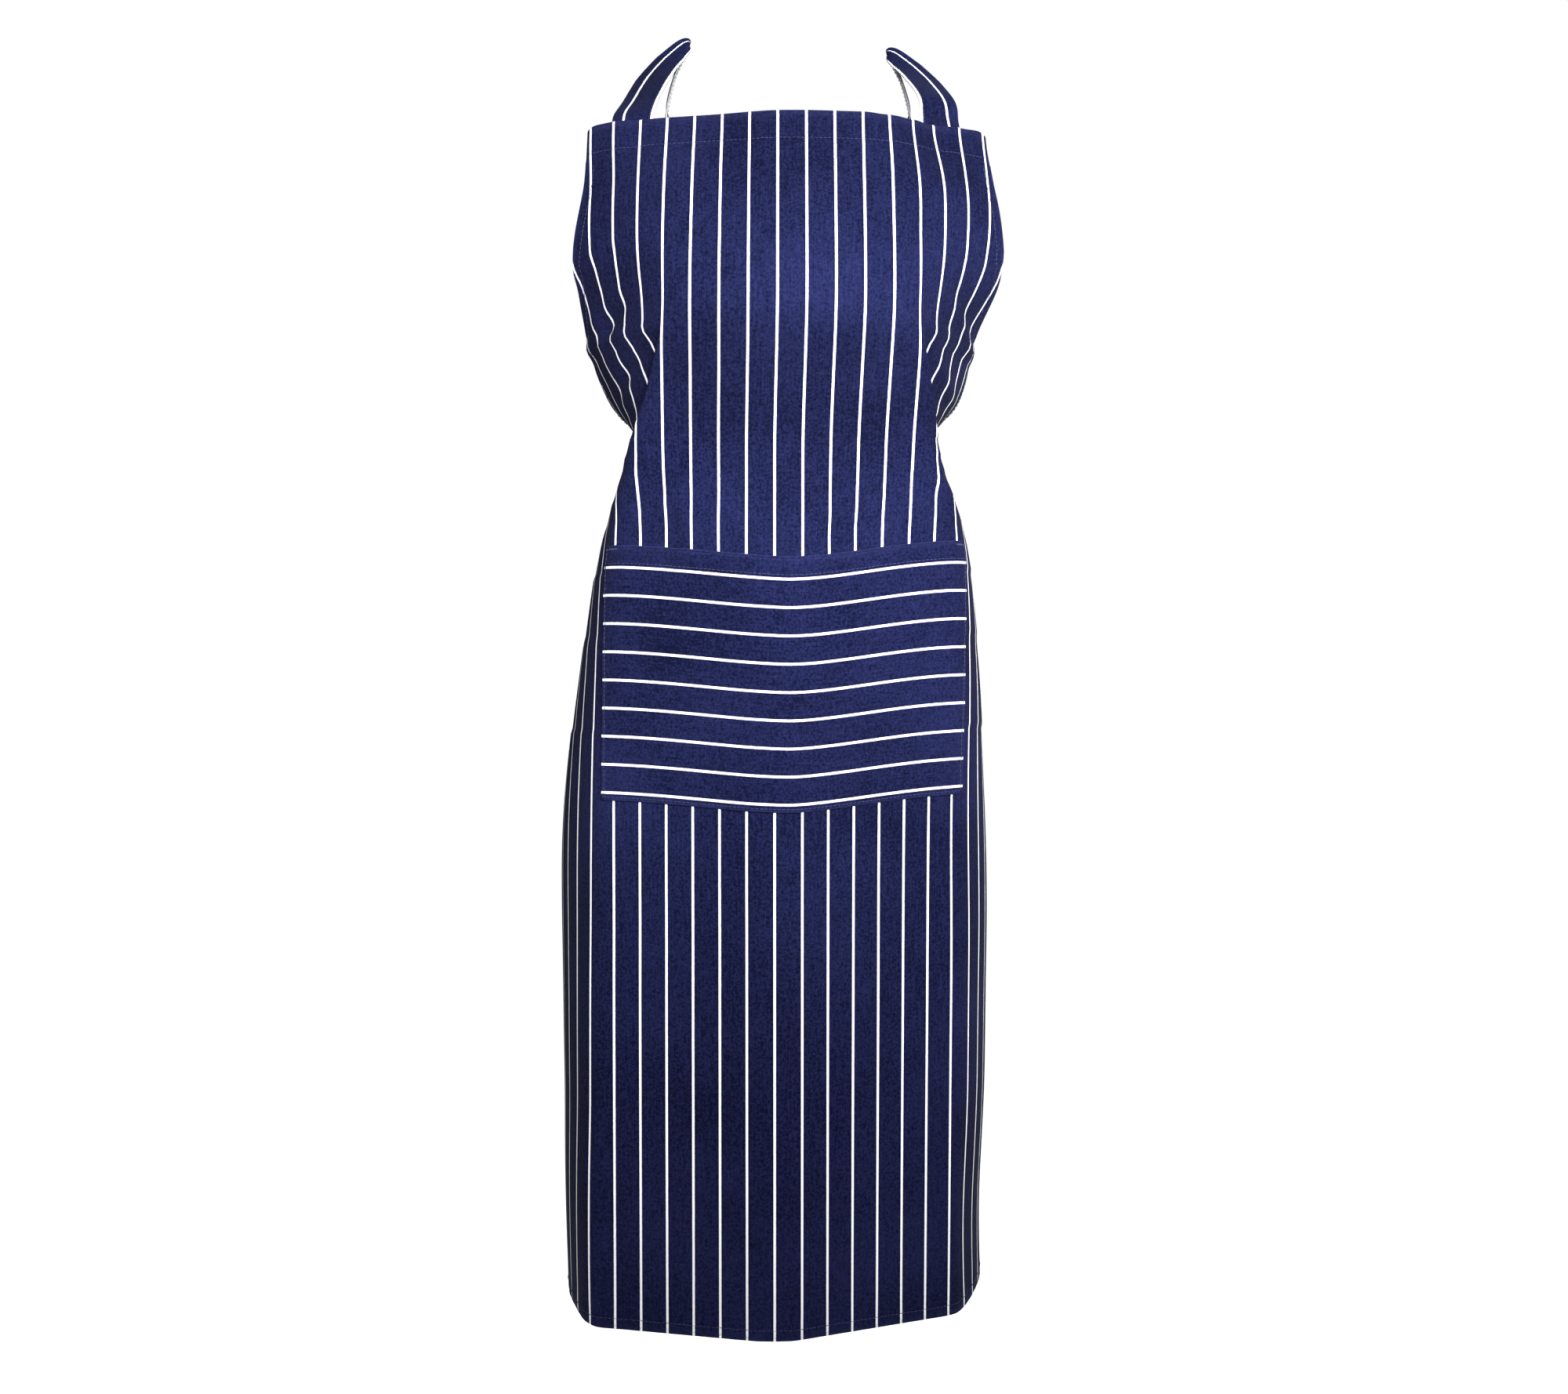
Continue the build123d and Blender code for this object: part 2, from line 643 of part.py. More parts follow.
# ---------------------------------------------------------------- write the pieces
PIECES = (
    apron_panel,
    bib_top_hem,
    bottom_hem,
    side_hem_left,
    side_hem_right,
    armhole_hem_left,
    armhole_hem_right,
    pocket_panel,
    pocket_mouth_hem,
    pocket_turnings,
    neck_strap,
    strap_end_left,
    strap_end_right,
    waist_tie_left,
    waist_tie_right,
    bow_knot,
    bow_loop_left,
    bow_loop_right,
    tie_tail_left,
    tie_tail_right,
    top_hem_stitching,
    bottom_hem_stitching,
    side_hem_stitching,
    armhole_stitching,
    pocket_stitching,
    pocket_mouth_stitching,
    pocket_bar_tacks,
)
os.makedirs("parts", exist_ok=True)
for piece in PIECES:
    export_step(piece.part, f"parts/{piece.part.label}.step")
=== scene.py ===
"""Looks for the striped butcher apron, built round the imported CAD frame. Metres, +Z up, +Y to the back."""

import math

import bpy
import numpy as np
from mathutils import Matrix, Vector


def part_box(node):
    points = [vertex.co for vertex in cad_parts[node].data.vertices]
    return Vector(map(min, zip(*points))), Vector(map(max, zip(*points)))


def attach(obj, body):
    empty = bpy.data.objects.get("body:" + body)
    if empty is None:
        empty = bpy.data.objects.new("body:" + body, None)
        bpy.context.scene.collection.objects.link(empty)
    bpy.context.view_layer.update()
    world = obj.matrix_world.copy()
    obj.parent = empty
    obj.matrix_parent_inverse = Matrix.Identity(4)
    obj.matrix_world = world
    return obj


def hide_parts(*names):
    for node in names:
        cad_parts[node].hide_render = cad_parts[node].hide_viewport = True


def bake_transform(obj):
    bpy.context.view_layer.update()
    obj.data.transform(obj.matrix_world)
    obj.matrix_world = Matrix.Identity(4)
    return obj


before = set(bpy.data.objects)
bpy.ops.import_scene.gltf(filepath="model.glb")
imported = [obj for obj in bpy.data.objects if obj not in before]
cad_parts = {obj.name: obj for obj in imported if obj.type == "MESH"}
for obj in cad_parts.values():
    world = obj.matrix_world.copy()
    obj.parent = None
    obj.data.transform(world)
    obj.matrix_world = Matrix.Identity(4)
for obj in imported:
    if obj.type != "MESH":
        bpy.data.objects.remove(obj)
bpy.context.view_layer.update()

MM = 0.001
# ---------------------------------------------------------------- cut of the apron, in millimetres
STRIPE = 22.2  # one repeat of the woven stripe, the unit that the cut is measured in
HEIGHT = 971.0
HALF = 16 * STRIPE
BIB_HALF = 7.65 * STRIPE
ARMHOLE = 260.0
WAIST = HEIGHT - ARMHOLE
NAPE = np.array((0.0, 192.0, 1002.0))
CLOTH = 1.0
FACE = CLOTH / 2
POCKET_FACE = 0.45
STRAP_WIDTH = 34.0
STRAP_THICK = 1.6
STRAP_SEAM = 14.4  # the row of stitches lies this far off a strap's middle
STRIPE_SHIFT = -6.3  # the woven stripe runs off the strap's middle by this much
TOP_HEM = 25.0
BOTTOM_HEM = 10.0
SIDE_HEM = 10.0
POCKET_HALF = 6.92 * STRIPE
POCKET_BOTTOM = 424.0
POCKET_TOP = 624.5
POCKET_HEM = 16.0
POCKET_TURNING = 9.0
BIB_LEAN = 2.6  # the bib hangs this far towards the wearer's left
LEAN_FROM, LEAN_RISE = 700.0, 130.0

# How the cloth stands at each level: height, depth of the front, place of the front ridge, then for the
# left and the right half how far the front turns back (degrees), where the cloth bends round the body,
# how far it has turned past the bend, and how far at the side edge.
LEVELS = np.array(
    (
        (0.0, 22.0, -11.0, 13, 155, 60, 118, 23, 164, 57, 118),
        (250.0, 12.0, -11.0, 13, 151, 52, 122, 22, 163, 53, 124),
        (424.0, 6.0, -11.0, 14, 145, 46, 132, 21, 160, 50, 134),
        (624.0, 0.0, -8.0, 13, 136, 62, 150, 16, 149, 64, 152),
        (711.0, 0.0, -4.0, 5, 122, 80, 156, 8, 122, 82, 152),
        (760.0, -22.0, 0.0, 4, 113, 52, 122, 5, 111, 58, 124),
        (812.0, -52.0, 0.0, 3, 91, 38, 102, 4, 89, 44, 108),
        (871.0, -47.0, 0.0, 6, 92, 20, 76, 4, 92, 24, 78),
        (971.0, -13.0, 0.0, 10, 116, 24, 60, 5, 78, 24, 60),
    ),
    float,
)
RIDGE_ROUNDING = 26.0
BEND_ROUNDING = 34.0

# Soft folds in the cloth: side, place across, half width, degrees of turn, middle height, half height.
FOLDS = (
    (1, 66, 12, 20, 972, 62),
    (1, 89, 12, 13, 960, 80),
    (1, 111, 12, 18, 972, 62),
    (1, 133, 13, -28, 972, 60),
    (1, 155, 12, -14, 972, 60),
    (1, 89, 12, 16, 866, 50),
    (-1, 44, 30, 4, 972, 60),
    (-1, 133, 16, -24, 972, 55),
    (-1, 155, 14, -9, 866, 55),
    (-1, 178, 14, -22, 806, 45),
    (-1, 30, 24, -12, 638, 60),
    (-1, 89, 12, 20, 640, 62),
    (-1, 111, 12, 8, 640, 55),
    (1, 33, 24, 6, 640, 60),
    (1, 78, 22, -9, 640, 60),
    (1, 120, 18, 8, 640, 55),
    (-1, 22, 14, -12, 420, 110),
    (1, 140, 14, 10, 410, 120),
    (-1, 155, 12, -24, 70, 120),
    (1, 156, 12, 16, 70, 120),
)
# The side of the bib tucks behind the front from the armpit to the waist: height, place, cloth hidden.
TUCK_LEFT = (
    (660, 148, 0),
    (690, 138, 7),
    (712, 130, 16),
    (728, 122, 26),
    (745, 114, 33),
    (765, 108, 30),
    (784, 103, 14),
    (804, 99, 0),
)
TUCK_RIGHT = (
    (660, 148, 0),
    (690, 138, 9),
    (712, 128, 19),
    (728, 121, 27),
    (745, 114, 31),
    (765, 108, 27),
    (784, 104, 12),
    (804, 101, 0),
)
TUCK_TURN = 168.0  # how far the cloth turns back on itself inside a tuck, degrees
TUCK_INWARD = 0.45  # the share of the hidden cloth that runs inwards
TUCK_EDGE = 5.0  # cloth that each fold of the tuck takes to turn
TUCK_FLARE = 10 / 11  # degrees that the cloth past a tuck turns outwards, for each hidden millimetre
FLARE_FADE = 55.0  # the flare fades over this much cloth
FLARE_FROM, FLARE_RISE = 690.0, 20.0  # the flare grows from this height, over this rise
# Ripples: side, place, half width, height, half height, size (mm), length of one ripple, slant.
RIPPLES = (
    (-1, 168, 52, 800, 92, 2.6, 37, 0.42),
    (1, 170, 52, 795, 90, 2.3, 41, 0.38),
    (-1, 120, 46, 672, 40, 1.5, 46, 0.9),
    (1, 118, 50, 668, 42, 1.6, 52, 0.9),
    (-1, 60, 60, 660, 34, 0.9, 70, 0.25),
    (1, 50, 60, 655, 36, 0.9, 64, -0.2),
    (-1, 300, 70, 680, 60, 3.0, 44, 1.2),
    (1, 300, 70, 680, 60, 3.0, 44, 1.2),
)


def eased(t):
    t = np.clip(t, 0.0, 1.0)
    return t * t * (3 - 2 * t)


def hump(t):
    """1 in the middle, 0 beyond plus and minus 1, smooth."""
    return eased(1 - np.abs(t))


def curve(height, x, v):
    """Smooth curve through the values v at the heights x, read at an array of heights."""
    h = np.clip(height, x[0], x[-1])
    i = np.clip(np.searchsorted(x, h, side="right") - 1, 0, len(x) - 2)
    low, high = np.maximum(np.arange(len(x)) - 1, 0), np.minimum(np.arange(len(x)) + 1, len(x) - 1)
    slope = (v[high] - v[low]) / (x[high] - x[low])
    span = x[i + 1] - x[i]
    t = (h - x[i]) / span
    return (
        v[i] * (2 * t**3 - 3 * t**2 + 1)
        + slope[i] * span * (t**3 - 2 * t**2 + t)
        + v[i + 1] * (3 * t**2 - 2 * t**3)
        + slope[i + 1] * span * (t**3 - t**2)
    )


def between(height, column):
    """One column of LEVELS at an array of heights."""
    return curve(height, LEVELS[:, 0], LEVELS[:, column])


# ---------------------------------------------------------------- the hanging cloth, as one lookup table
ROW = 3.0  # spacing of the table's heights
HEIGHTS = np.arange(-6.0, HEIGHT + 7.0, ROW)
REACH = 366  # millimetres of cloth each side of the centre
RIDGE_ROOM = 14  # more than the ridge's greatest distance from the centre


def half_path(side):
    """x, depth and heading at every millimetre of cloth from the ridge outwards, at every height."""
    first = 3 if side < 0 else 7
    front, bend, flank, edge = (between(HEIGHTS, first + k)[:, None] for k in range(4))
    ridge = np.round(between(HEIGHTS, 2))[:, None]
    steps = np.arange(REACH + RIDGE_ROOM)[None, :] + 0.5
    heading = front * eased(steps / RIDGE_ROUNDING)
    heading = heading + (flank - front) * eased((steps - bend) / BEND_ROUNDING + 0.5)
    heading = heading + (edge - flank) * np.maximum(0.0, (steps - bend) / (HALF - bend))
    place = steps + side * ridge
    for where, middle, wide, turn, height, tall in FOLDS:
        if where == side:
            level = hump((HEIGHTS[:, None] - height) / tall)
            heading = heading + turn * hump((place - middle) / wide) * level
    tuck = np.array(TUCK_LEFT if side < 0 else TUCK_RIGHT, float)
    start = curve(HEIGHTS, tuck[:, 0], tuck[:, 1])[:, None]
    hidden = np.maximum(0.0, curve(HEIGHTS, tuck[:, 0], tuck[:, 2]))[:, None]
    inward = TUCK_INWARD * hidden
    past = place - start - inward  # cloth beyond the tuck's inner fold
    gate = eased(hidden / 10.0)
    back = eased((place - start) / TUCK_EDGE) * eased(1.0 - past / TUCK_EDGE) * gate
    flare = np.exp(-np.maximum(0.0, past) / FLARE_FADE) * eased(past / 4.0 + 1.0)
    flare = flare * eased((HEIGHTS[:, None] - FLARE_FROM) / FLARE_RISE)
    heading = heading - TUCK_FLARE * hidden * flare
    heading = heading * (1 - back) + TUCK_TURN * back
    turn = np.radians(heading)
    x = ridge + side * np.concatenate([np.zeros_like(ridge), np.cumsum(np.cos(turn), axis=1)], axis=1)
    depth = between(HEIGHTS, 1)[:, None]
    y = depth + np.concatenate([np.zeros_like(ridge), np.cumsum(np.sin(turn), axis=1)], axis=1)
    turn = np.concatenate([np.zeros_like(ridge), turn], axis=1)
    # read it again at whole millimetres from the apron's centre line
    out = np.zeros((3, len(HEIGHTS), REACH + 1))
    whole = np.arange(REACH + 1)
    for k in range(len(HEIGHTS)):
        own = np.arange(x.shape[1]) + side * ridge[k, 0]
        for m, values in enumerate((x[k], y[k], side * turn[k])):
            out[m, k] = np.interp(whole, own, values, left=np.nan)
    return out


def cloth_table():
    """x, depth and heading for every height and every millimetre across the whole cloth."""
    left, right = half_path(-1), half_path(1)
    table = np.concatenate([left[:, :, :0:-1], right], axis=2)
    # the ridge lies a few millimetres to the left, so the right half also fills what the left lacks
    ridge = np.round(between(HEIGHTS, 2))
    for k in range(len(HEIGHTS)):
        row = table[:, k]
        gaps = np.isnan(row[0])
        good = ~gaps
        for m in range(3):
            row[m][gaps] = np.interp(np.flatnonzero(gaps), np.flatnonzero(good), row[m][good])
        if ridge[k] < 0:
            lap = slice(REACH + int(ridge[k]), REACH + 1)
            row[0][lap] = np.linspace(row[0][lap][0], row[0][lap][-1], row[0][lap].size)
    return table


TABLE = cloth_table()


def lift(height, across):
    """How much higher the cloth sits at its sides than its own place on the cut says."""
    rise = np.interp(height, (0, 10, 60, 430, 600, 660, 711, 800), (0.0, 0, 2, 9, 13, 12, 4, 0))
    more = np.where(across > 0, 1.35, 0.95)
    near = eased(np.abs(across) / 160.0) ** 0.8
    away = 1 - 0.75 * eased((np.abs(across) - 200) / 150.0)
    corner = 7.0 * eased((np.abs(across) - 150) / 60.0) * (1 - eased(height / 120.0))
    return rise * more * near * away + corner


def pucker(along, tight, slow, near, size):
    """A small uneven wave along a sewn edge, as strong as the closeness to that edge."""
    return np.sin(along / tight + slow[0] * np.sin(along / slow[1])) * near * size


def puckers(height, across):
    """Small waves that the sewn edges put in the cloth."""
    top_hem = np.exp(-(((height - (HEIGHT - TOP_HEM)) / 12.0) ** 2))
    bottom_hem = np.exp(-(((height - 8) / 9.0) ** 2))
    side_hem = np.exp(-(((np.abs(across) - HALF + 8) / 8.0) ** 2)) * (height < WAIST)
    inside = (height > POCKET_BOTTOM - 10) & (height < POCKET_TOP + 6)
    pocket_side = np.exp(-(((np.abs(across) - POCKET_HALF + 2) / 7.0) ** 2)) * inside
    wave = pucker(across, 2.1, (0.7, 9.0), top_hem, 0.16)
    wave = wave + pucker(across, 2.6, (1.0, 14.0), bottom_hem, 0.22)
    wave = wave + pucker(height, 2.9, (1.0, 17.0), side_hem, 0.25)
    return wave + pucker(height, 3.1, (1.0, 13.0), pocket_side, 0.22)


def ripples(height, across):
    """How far the ripples of RIPPLES move the cloth off its face."""
    total = 0.0
    for side, middle, wide, level, tall, size, length, slant in RIPPLES:
        out = side * across
        window = hump((out - middle) / wide) * hump((height - level) / tall)
        phase = (height + slant * out) / length
        total = total + size * window * np.sin(2 * math.pi * (phase + 0.13 * np.sin(5 * phase)))
    return total


def cloth(height, across, outward=0.0):
    """Points (metres) of the cloth at heights and places across it, moved outward off its face."""
    height, across, outward = np.broadcast_arrays(
        np.asarray(height, float), np.asarray(across, float), np.asarray(outward, float)
    )
    r = np.clip((height - HEIGHTS[0]) / ROW, 0, len(HEIGHTS) - 1.001)
    c = np.clip(across + REACH, 0, 2 * REACH - 0.001)
    i, j = r.astype(int), c.astype(int)
    u, v = r - i, c - j
    x, y, turn = (
        (t[i, j] * (1 - u) + t[i + 1, j] * u) * (1 - v) + (t[i, j + 1] * (1 - u) + t[i + 1, j + 1] * u) * v
        for t in TABLE
    )
    away = outward + ripples(height, across) + puckers(height, across)
    x = x + away * np.sin(turn)
    y = y - away * np.cos(turn)
    x = x + BIB_LEAN * eased((height - LEAN_FROM) / LEAN_RISE)
    z = height + lift(height, across)
    return np.stack([x - NAPE[0], y - NAPE[1], z - NAPE[2]], axis=-1) * MM


def armhole_edge(height):
    """Half the width of the cut at a height."""
    rise = np.clip((np.asarray(height, float) - WAIST) / ARMHOLE, 0, 1)
    return HALF - (HALF - BIB_HALF) * np.sqrt(np.maximum(0.0, 1 - (1 - rise) ** 2))


# ---------------------------------------------------------------- meshes
def make_piece(name, points, faces, cloth_at=None, wear=None):
    """A mesh object. cloth_at is each point's place on the woven cloth in metres, wear its rubbing."""
    mesh = bpy.data.meshes.new(name)
    mesh.from_pydata(np.asarray(points, float).reshape(-1, 3).tolist(), [], faces)
    count = len(mesh.vertices)
    if cloth_at is None:
        cloth_at = np.zeros((count, 2))
    flat = np.zeros((count, 3), np.float32)
    flat[:, :2] = np.asarray(cloth_at, float).reshape(-1, 2)
    mesh.attributes.new("cloth", "FLOAT_VECTOR", "POINT").data.foreach_set("vector", flat.ravel())
    rub = np.zeros(count, np.float32) if wear is None else np.asarray(wear, np.float32).ravel()
    mesh.attributes.new("wear", "FLOAT", "POINT").data.foreach_set("value", rub)
    mesh.polygons.foreach_set("use_smooth", [True] * len(mesh.polygons))
    mesh.validate()
    mesh.update()
    obj = bpy.data.objects.new(name, mesh)
    bpy.context.scene.collection.objects.link(obj)
    return obj


def grid_faces(rows, cols, wrap=False, base=0, flip=False):
    """Four-sided faces over a grid of points; wrap joins each row's end to its start."""
    faces = []
    last = cols if wrap else cols - 1
    for i in range(rows - 1):
        for j in range(last):
            k = (j + 1) % cols
            this, above = base + i * cols, base + (i + 1) * cols
            face = (this + j, this + k, above + k, above + j)
            faces.append(face[::-1] if flip else face)
    return faces


def shell(name, outer, inner, cloth_at, wear):
    """Closed thin sheet between two grids of points."""
    rows, cols = outer.shape[:2]
    count = rows * cols
    faces = grid_faces(rows, cols) + grid_faces(rows, cols, base=count, flip=True)
    ring = [(0, j) for j in range(cols)] + [(i, cols - 1) for i in range(1, rows)]
    ring += [(rows - 1, j) for j in range(cols - 2, -1, -1)] + [(i, 0) for i in range(rows - 2, 0, -1)]
    ids = [i * cols + j for i, j in ring]
    for a, b in zip(ids, ids[1:] + ids[:1]):
        faces.append((b, a, a + count, b + count))
    points = np.concatenate([outer.reshape(-1, 3), inner.reshape(-1, 3)])
    both = np.concatenate([cloth_at.reshape(-1, 2)] * 2)
    return make_piece(name, points, faces, both, np.concatenate([wear.ravel()] * 2))


def sweep(name, rings, cloth_at, wear):
    """Skin over rings of points (rings, points per ring, 3), capped at both ends."""
    rows, cols = rings.shape[:2]
    faces = grid_faces(rows, cols, wrap=True)
    faces.append(tuple(range(cols))[::-1])
    faces.append(tuple((rows - 1) * cols + j for j in range(cols)))
    return make_piece(name, rings, faces, cloth_at, wear)


# ---------------------------------------------------------------- materials
def new_material(name):
    material = bpy.data.materials.new(name)
    material.use_nodes = True
    tree = material.node_tree
    tree.nodes.clear()
    out = tree.nodes.new("ShaderNodeOutputMaterial")
    shader = tree.nodes.new("ShaderNodeBsdfPrincipled")
    tree.links.new(shader.outputs[0], out.inputs[0])
    return material, tree, shader


def calc(tree, operation, a, b=None, c=None, clamp=False):
    """One arithmetic node; a, b and c are numbers or sockets."""
    made = tree.nodes.new("ShaderNodeMath")
    made.operation = operation
    made.use_clamp = clamp
    for socket, value in zip(made.inputs, (a, b, c)):
        if value is None:
            continue
        if isinstance(value, (int, float)):
            socket.default_value = value
        else:
            tree.links.new(value, socket)
    return made.outputs[0]


def blend_colour(tree, factor, a, b):
    made = tree.nodes.new("ShaderNodeMix")
    made.data_type = "RGBA"
    for socket, value in ((made.inputs[0], factor), (made.inputs[6], a), (made.inputs[7], b)):
        if isinstance(value, (tuple, float, int)):
            socket.default_value = value
        else:
            tree.links.new(value, socket)
    return made.outputs[2]


def set_inputs(node, values):
    for name, value in values.items():
        node.inputs[name].default_value = value


def noise(tree, vector, scale, detail=2.0):
    made = tree.nodes.new("ShaderNodeTexNoise")
    set_inputs(made, {"Scale": scale, "Detail": detail})
    tree.links.new(vector, made.inputs["Vector"])
    return made.outputs[0]


def relieve(tree, shader, height, strength, distance):
    """Gives a surface fine relief; distance is in metres."""
    bump = tree.nodes.new("ShaderNodeBump")
    set_inputs(bump, {"Strength": strength, "Distance": distance})
    tree.links.new(height, bump.inputs["Height"])
    tree.links.new(bump.outputs[0], shader.inputs["Normal"])


NAVY = (0.0055, 0.0075, 0.037, 1)
NAVY_PALE = (0.0125, 0.0155, 0.064, 1)
NAVY_DEEP = (0.0008, 0.0013, 0.009, 1)
WHITE = (0.95, 0.95, 0.96, 1)
RUBBED = (0.020, 0.024, 0.09, 1)
SHADED_WHITE = (0.30, 0.31, 0.40, 1)
THREAD_DEEP, THREAD_PALE = (0.010, 0.012, 0.055, 1), (0.028, 0.032, 0.11, 1)
STRIPE_HALF, STRIPE_EDGE = 0.85, 0.26  # half the white line, and the blurred edge of it, in millimetres
RIB_SPACING, YARN_SPACING = 0.0008, 0.0005  # metres


def striped_twill(name):
    """The cloth: navy twill with a white woven stripe, placed by the cloth attribute."""
    material, tree, shader = new_material(name)
    place = tree.nodes.new("ShaderNodeAttribute")
    place.attribute_name = "cloth"
    rub = tree.nodes.new("ShaderNodeAttribute")
    rub.attribute_name = "wear"
    split = tree.nodes.new("ShaderNodeSeparateXYZ")
    tree.links.new(place.outputs["Vector"], split.inputs[0])
    u, v = split.outputs[0], split.outputs[1]
    solid = tree.nodes.new("ShaderNodeTexCoord").outputs["Object"]
    # woven stripe: 2 mm of white in every repeat, its edge a little ragged with the yarns
    uneven = calc(tree, "SUBTRACT", noise(tree, place.outputs["Vector"], 1400.0), 0.5)
    ragged = calc(tree, "MULTIPLY", uneven, 0.0005)
    wander = calc(tree, "ADD", u, ragged)
    turns = calc(tree, "FRACT", calc(tree, "ADD", calc(tree, "DIVIDE", wander, STRIPE * MM), 200.0))
    off = calc(tree, "MULTIPLY", calc(tree, "ABSOLUTE", calc(tree, "SUBTRACT", turns, 0.5)), STRIPE)
    beyond = calc(tree, "DIVIDE", calc(tree, "SUBTRACT", off, STRIPE_HALF), STRIPE_EDGE)
    stripe = calc(tree, "SUBTRACT", 1.0, beyond, clamp=True)
    # twill: fine diagonal ribs, yarns across them
    slant = calc(tree, "ADD", u, calc(tree, "MULTIPLY", v, 0.8))
    ribs = calc(tree, "SINE", calc(tree, "MULTIPLY", slant, 2 * math.pi / RIB_SPACING))
    yarn = calc(tree, "SINE", calc(tree, "MULTIPLY", v, 2 * math.pi / YARN_SPACING))
    weave = calc(tree, "ADD", calc(tree, "MULTIPLY", ribs, 0.7), calc(tree, "MULTIPLY", yarn, 0.3))
    # the dye is uneven over hands' breadths, from yarn to yarn, and in specks
    broad = noise(tree, solid, 9.0, 3.0)
    stretch = tree.nodes.new("ShaderNodeCombineXYZ")
    tree.links.new(calc(tree, "MULTIPLY", u, 900.0), stretch.inputs[0])
    tree.links.new(calc(tree, "MULTIPLY", v, 35.0), stretch.inputs[1])
    yarns = noise(tree, stretch.outputs[0], 1.0, 1.0)
    speckle = noise(tree, solid, 520.0, 2.0)
    shade = calc(tree, "ADD", calc(tree, "MULTIPLY", broad, 0.5), calc(tree, "MULTIPLY", yarns, 0.35))
    shade = calc(tree, "ADD", shade, calc(tree, "MULTIPLY", speckle, 0.9))
    shade = calc(tree, "SUBTRACT", calc(tree, "MULTIPLY", shade, 2.4), 1.65, clamp=True)
    navy = blend_colour(tree, shade, NAVY_DEEP, NAVY_PALE)
    navy = blend_colour(tree, calc(tree, "MULTIPLY", calc(tree, "ADD", weave, 1.0), 0.22), navy, NAVY)
    worn = calc(tree, "MULTIPLY", rub.outputs["Fac"], noise(tree, solid, 260.0, 2.0))
    navy = blend_colour(tree, calc(tree, "MULTIPLY", worn, 0.9), navy, RUBBED)
    grey = calc(tree, "ADD", 0.93, calc(tree, "MULTIPLY", weave, 0.05))
    pale = blend_colour(tree, grey, SHADED_WHITE, WHITE)
    tree.links.new(blend_colour(tree, stripe, navy, pale), shader.inputs["Base Color"])
    set_inputs(shader, {"Roughness": 0.92, "Specular IOR Level": 0.05})
    set_inputs(shader, {"Sheen Weight": 0.010, "Sheen Roughness": 0.55})
    fuzz = noise(tree, solid, 700.0, 2.0)
    relief = calc(tree, "ADD", calc(tree, "MULTIPLY", weave, 0.5), calc(tree, "MULTIPLY", fuzz, 0.8))
    relief = calc(tree, "ADD", relief, calc(tree, "MULTIPLY", stripe, 0.6))
    relieve(tree, shader, relief, 0.45, 0.00012)
    return material


def sewing_thread(name):
    """Twisted navy thread."""
    material, tree, shader = new_material(name)
    solid = tree.nodes.new("ShaderNodeTexCoord").outputs["Object"]
    colour = blend_colour(tree, noise(tree, solid, 500.0), THREAD_DEEP, THREAD_PALE)
    tree.links.new(colour, shader.inputs["Base Color"])
    set_inputs(shader, {"Roughness": 0.6})
    twist = tree.nodes.new("ShaderNodeTexWave")
    set_inputs(twist, {"Scale": 900.0})
    tree.links.new(solid, twist.inputs["Vector"])
    relieve(tree, shader, twist.outputs[1], 0.5, 0.0001)
    return material


twill = striped_twill("striped_twill")
thread = sewing_thread("navy_thread")


def finish_piece(obj, material, body=None, nodes=()):
    """Gives a piece its material and slot, the body it rides on and the CAD nodes it replaces."""
    obj.data.materials.append(material)
    if body:
        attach(obj, body)
    if nodes:
        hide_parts(*nodes)
    return obj


def cloth_piece(obj, body=None, nodes=()):
    return finish_piece(obj, twill, body, nodes)


# ---------------------------------------------------------------- the panel
def panel_levels():
    """Heights of the panel's rows of points, close together where the armhole turns."""
    skirt = np.arange(0.0, WAIST, 5.0)
    bib = WAIST + ARMHOLE * (1 - np.cos(np.radians(np.linspace(0, 90, 76))))
    return np.concatenate([skirt, bib])


# places across the cloth as shares of its half width, close together where it tucks
SHARES = [np.arange(0, 0.27, 0.011), np.arange(0.27, 0.62, 0.0045), np.linspace(0.62, 1, 34)]
SHARES = np.concatenate(SHARES)
SHARES = np.concatenate([-SHARES[:0:-1], SHARES])
ROUND_CORNER = 9.0  # the bib's top corners are turned over a small curve


def corner_drop(height, across):
    """Lowers the bib's top edge at its two corners, where the folded hem makes a small curve."""
    reach = np.clip((np.abs(across) - (BIB_HALF - ROUND_CORNER)) / ROUND_CORNER, 0, 1)
    near = np.clip((height - (HEIGHT - 30)) / 30, 0, 1)
    return ROUND_CORNER * 0.5 * (1 - np.sqrt(1 - 0.98 * reach**2)) * near


height, across = np.meshgrid(panel_levels(), SHARES, indexing="ij")
across = across * armhole_edge(height)
height = height - corner_drop(height, across)
to_edge = np.minimum.reduce([height, HEIGHT - height, np.abs(armhole_edge(height) - np.abs(across))])
panel = shell(
    "panel_cloth",
    cloth(height, across, FACE),
    cloth(height, across, -FACE),
    np.stack([across, height], axis=-1) * MM,
    np.exp(-np.maximum(to_edge, 0) / 2.5) * 0.8,
)
cloth_piece(panel, "apron", ["apron_panel"])


# ---------------------------------------------------------------- hems: a folded lip, then cloth inside
def hem_profile(width, inner=-1.95, outer=0.62):
    """Closed outline across a hem: (distance in from the edge, distance outward off the cloth)."""
    middle = (outer + inner) / 2
    bulge = (outer - inner) / 2
    lip = [(-0.75 * bulge * math.cos(a), middle + bulge * math.sin(a)) for a in np.linspace(1.25, -1.57, 9)]
    front = [(1.3, 0.50), (0.6, outer - 0.02)]
    inside = [(width * 0.5, inner), (width - 0.4, inner), (width, inner + 0.3)]
    back_again = [(width - 0.4, inner + 0.8), (width * 0.5, inner + 0.85), (1.1, -0.6)]
    return front + lip + inside + back_again


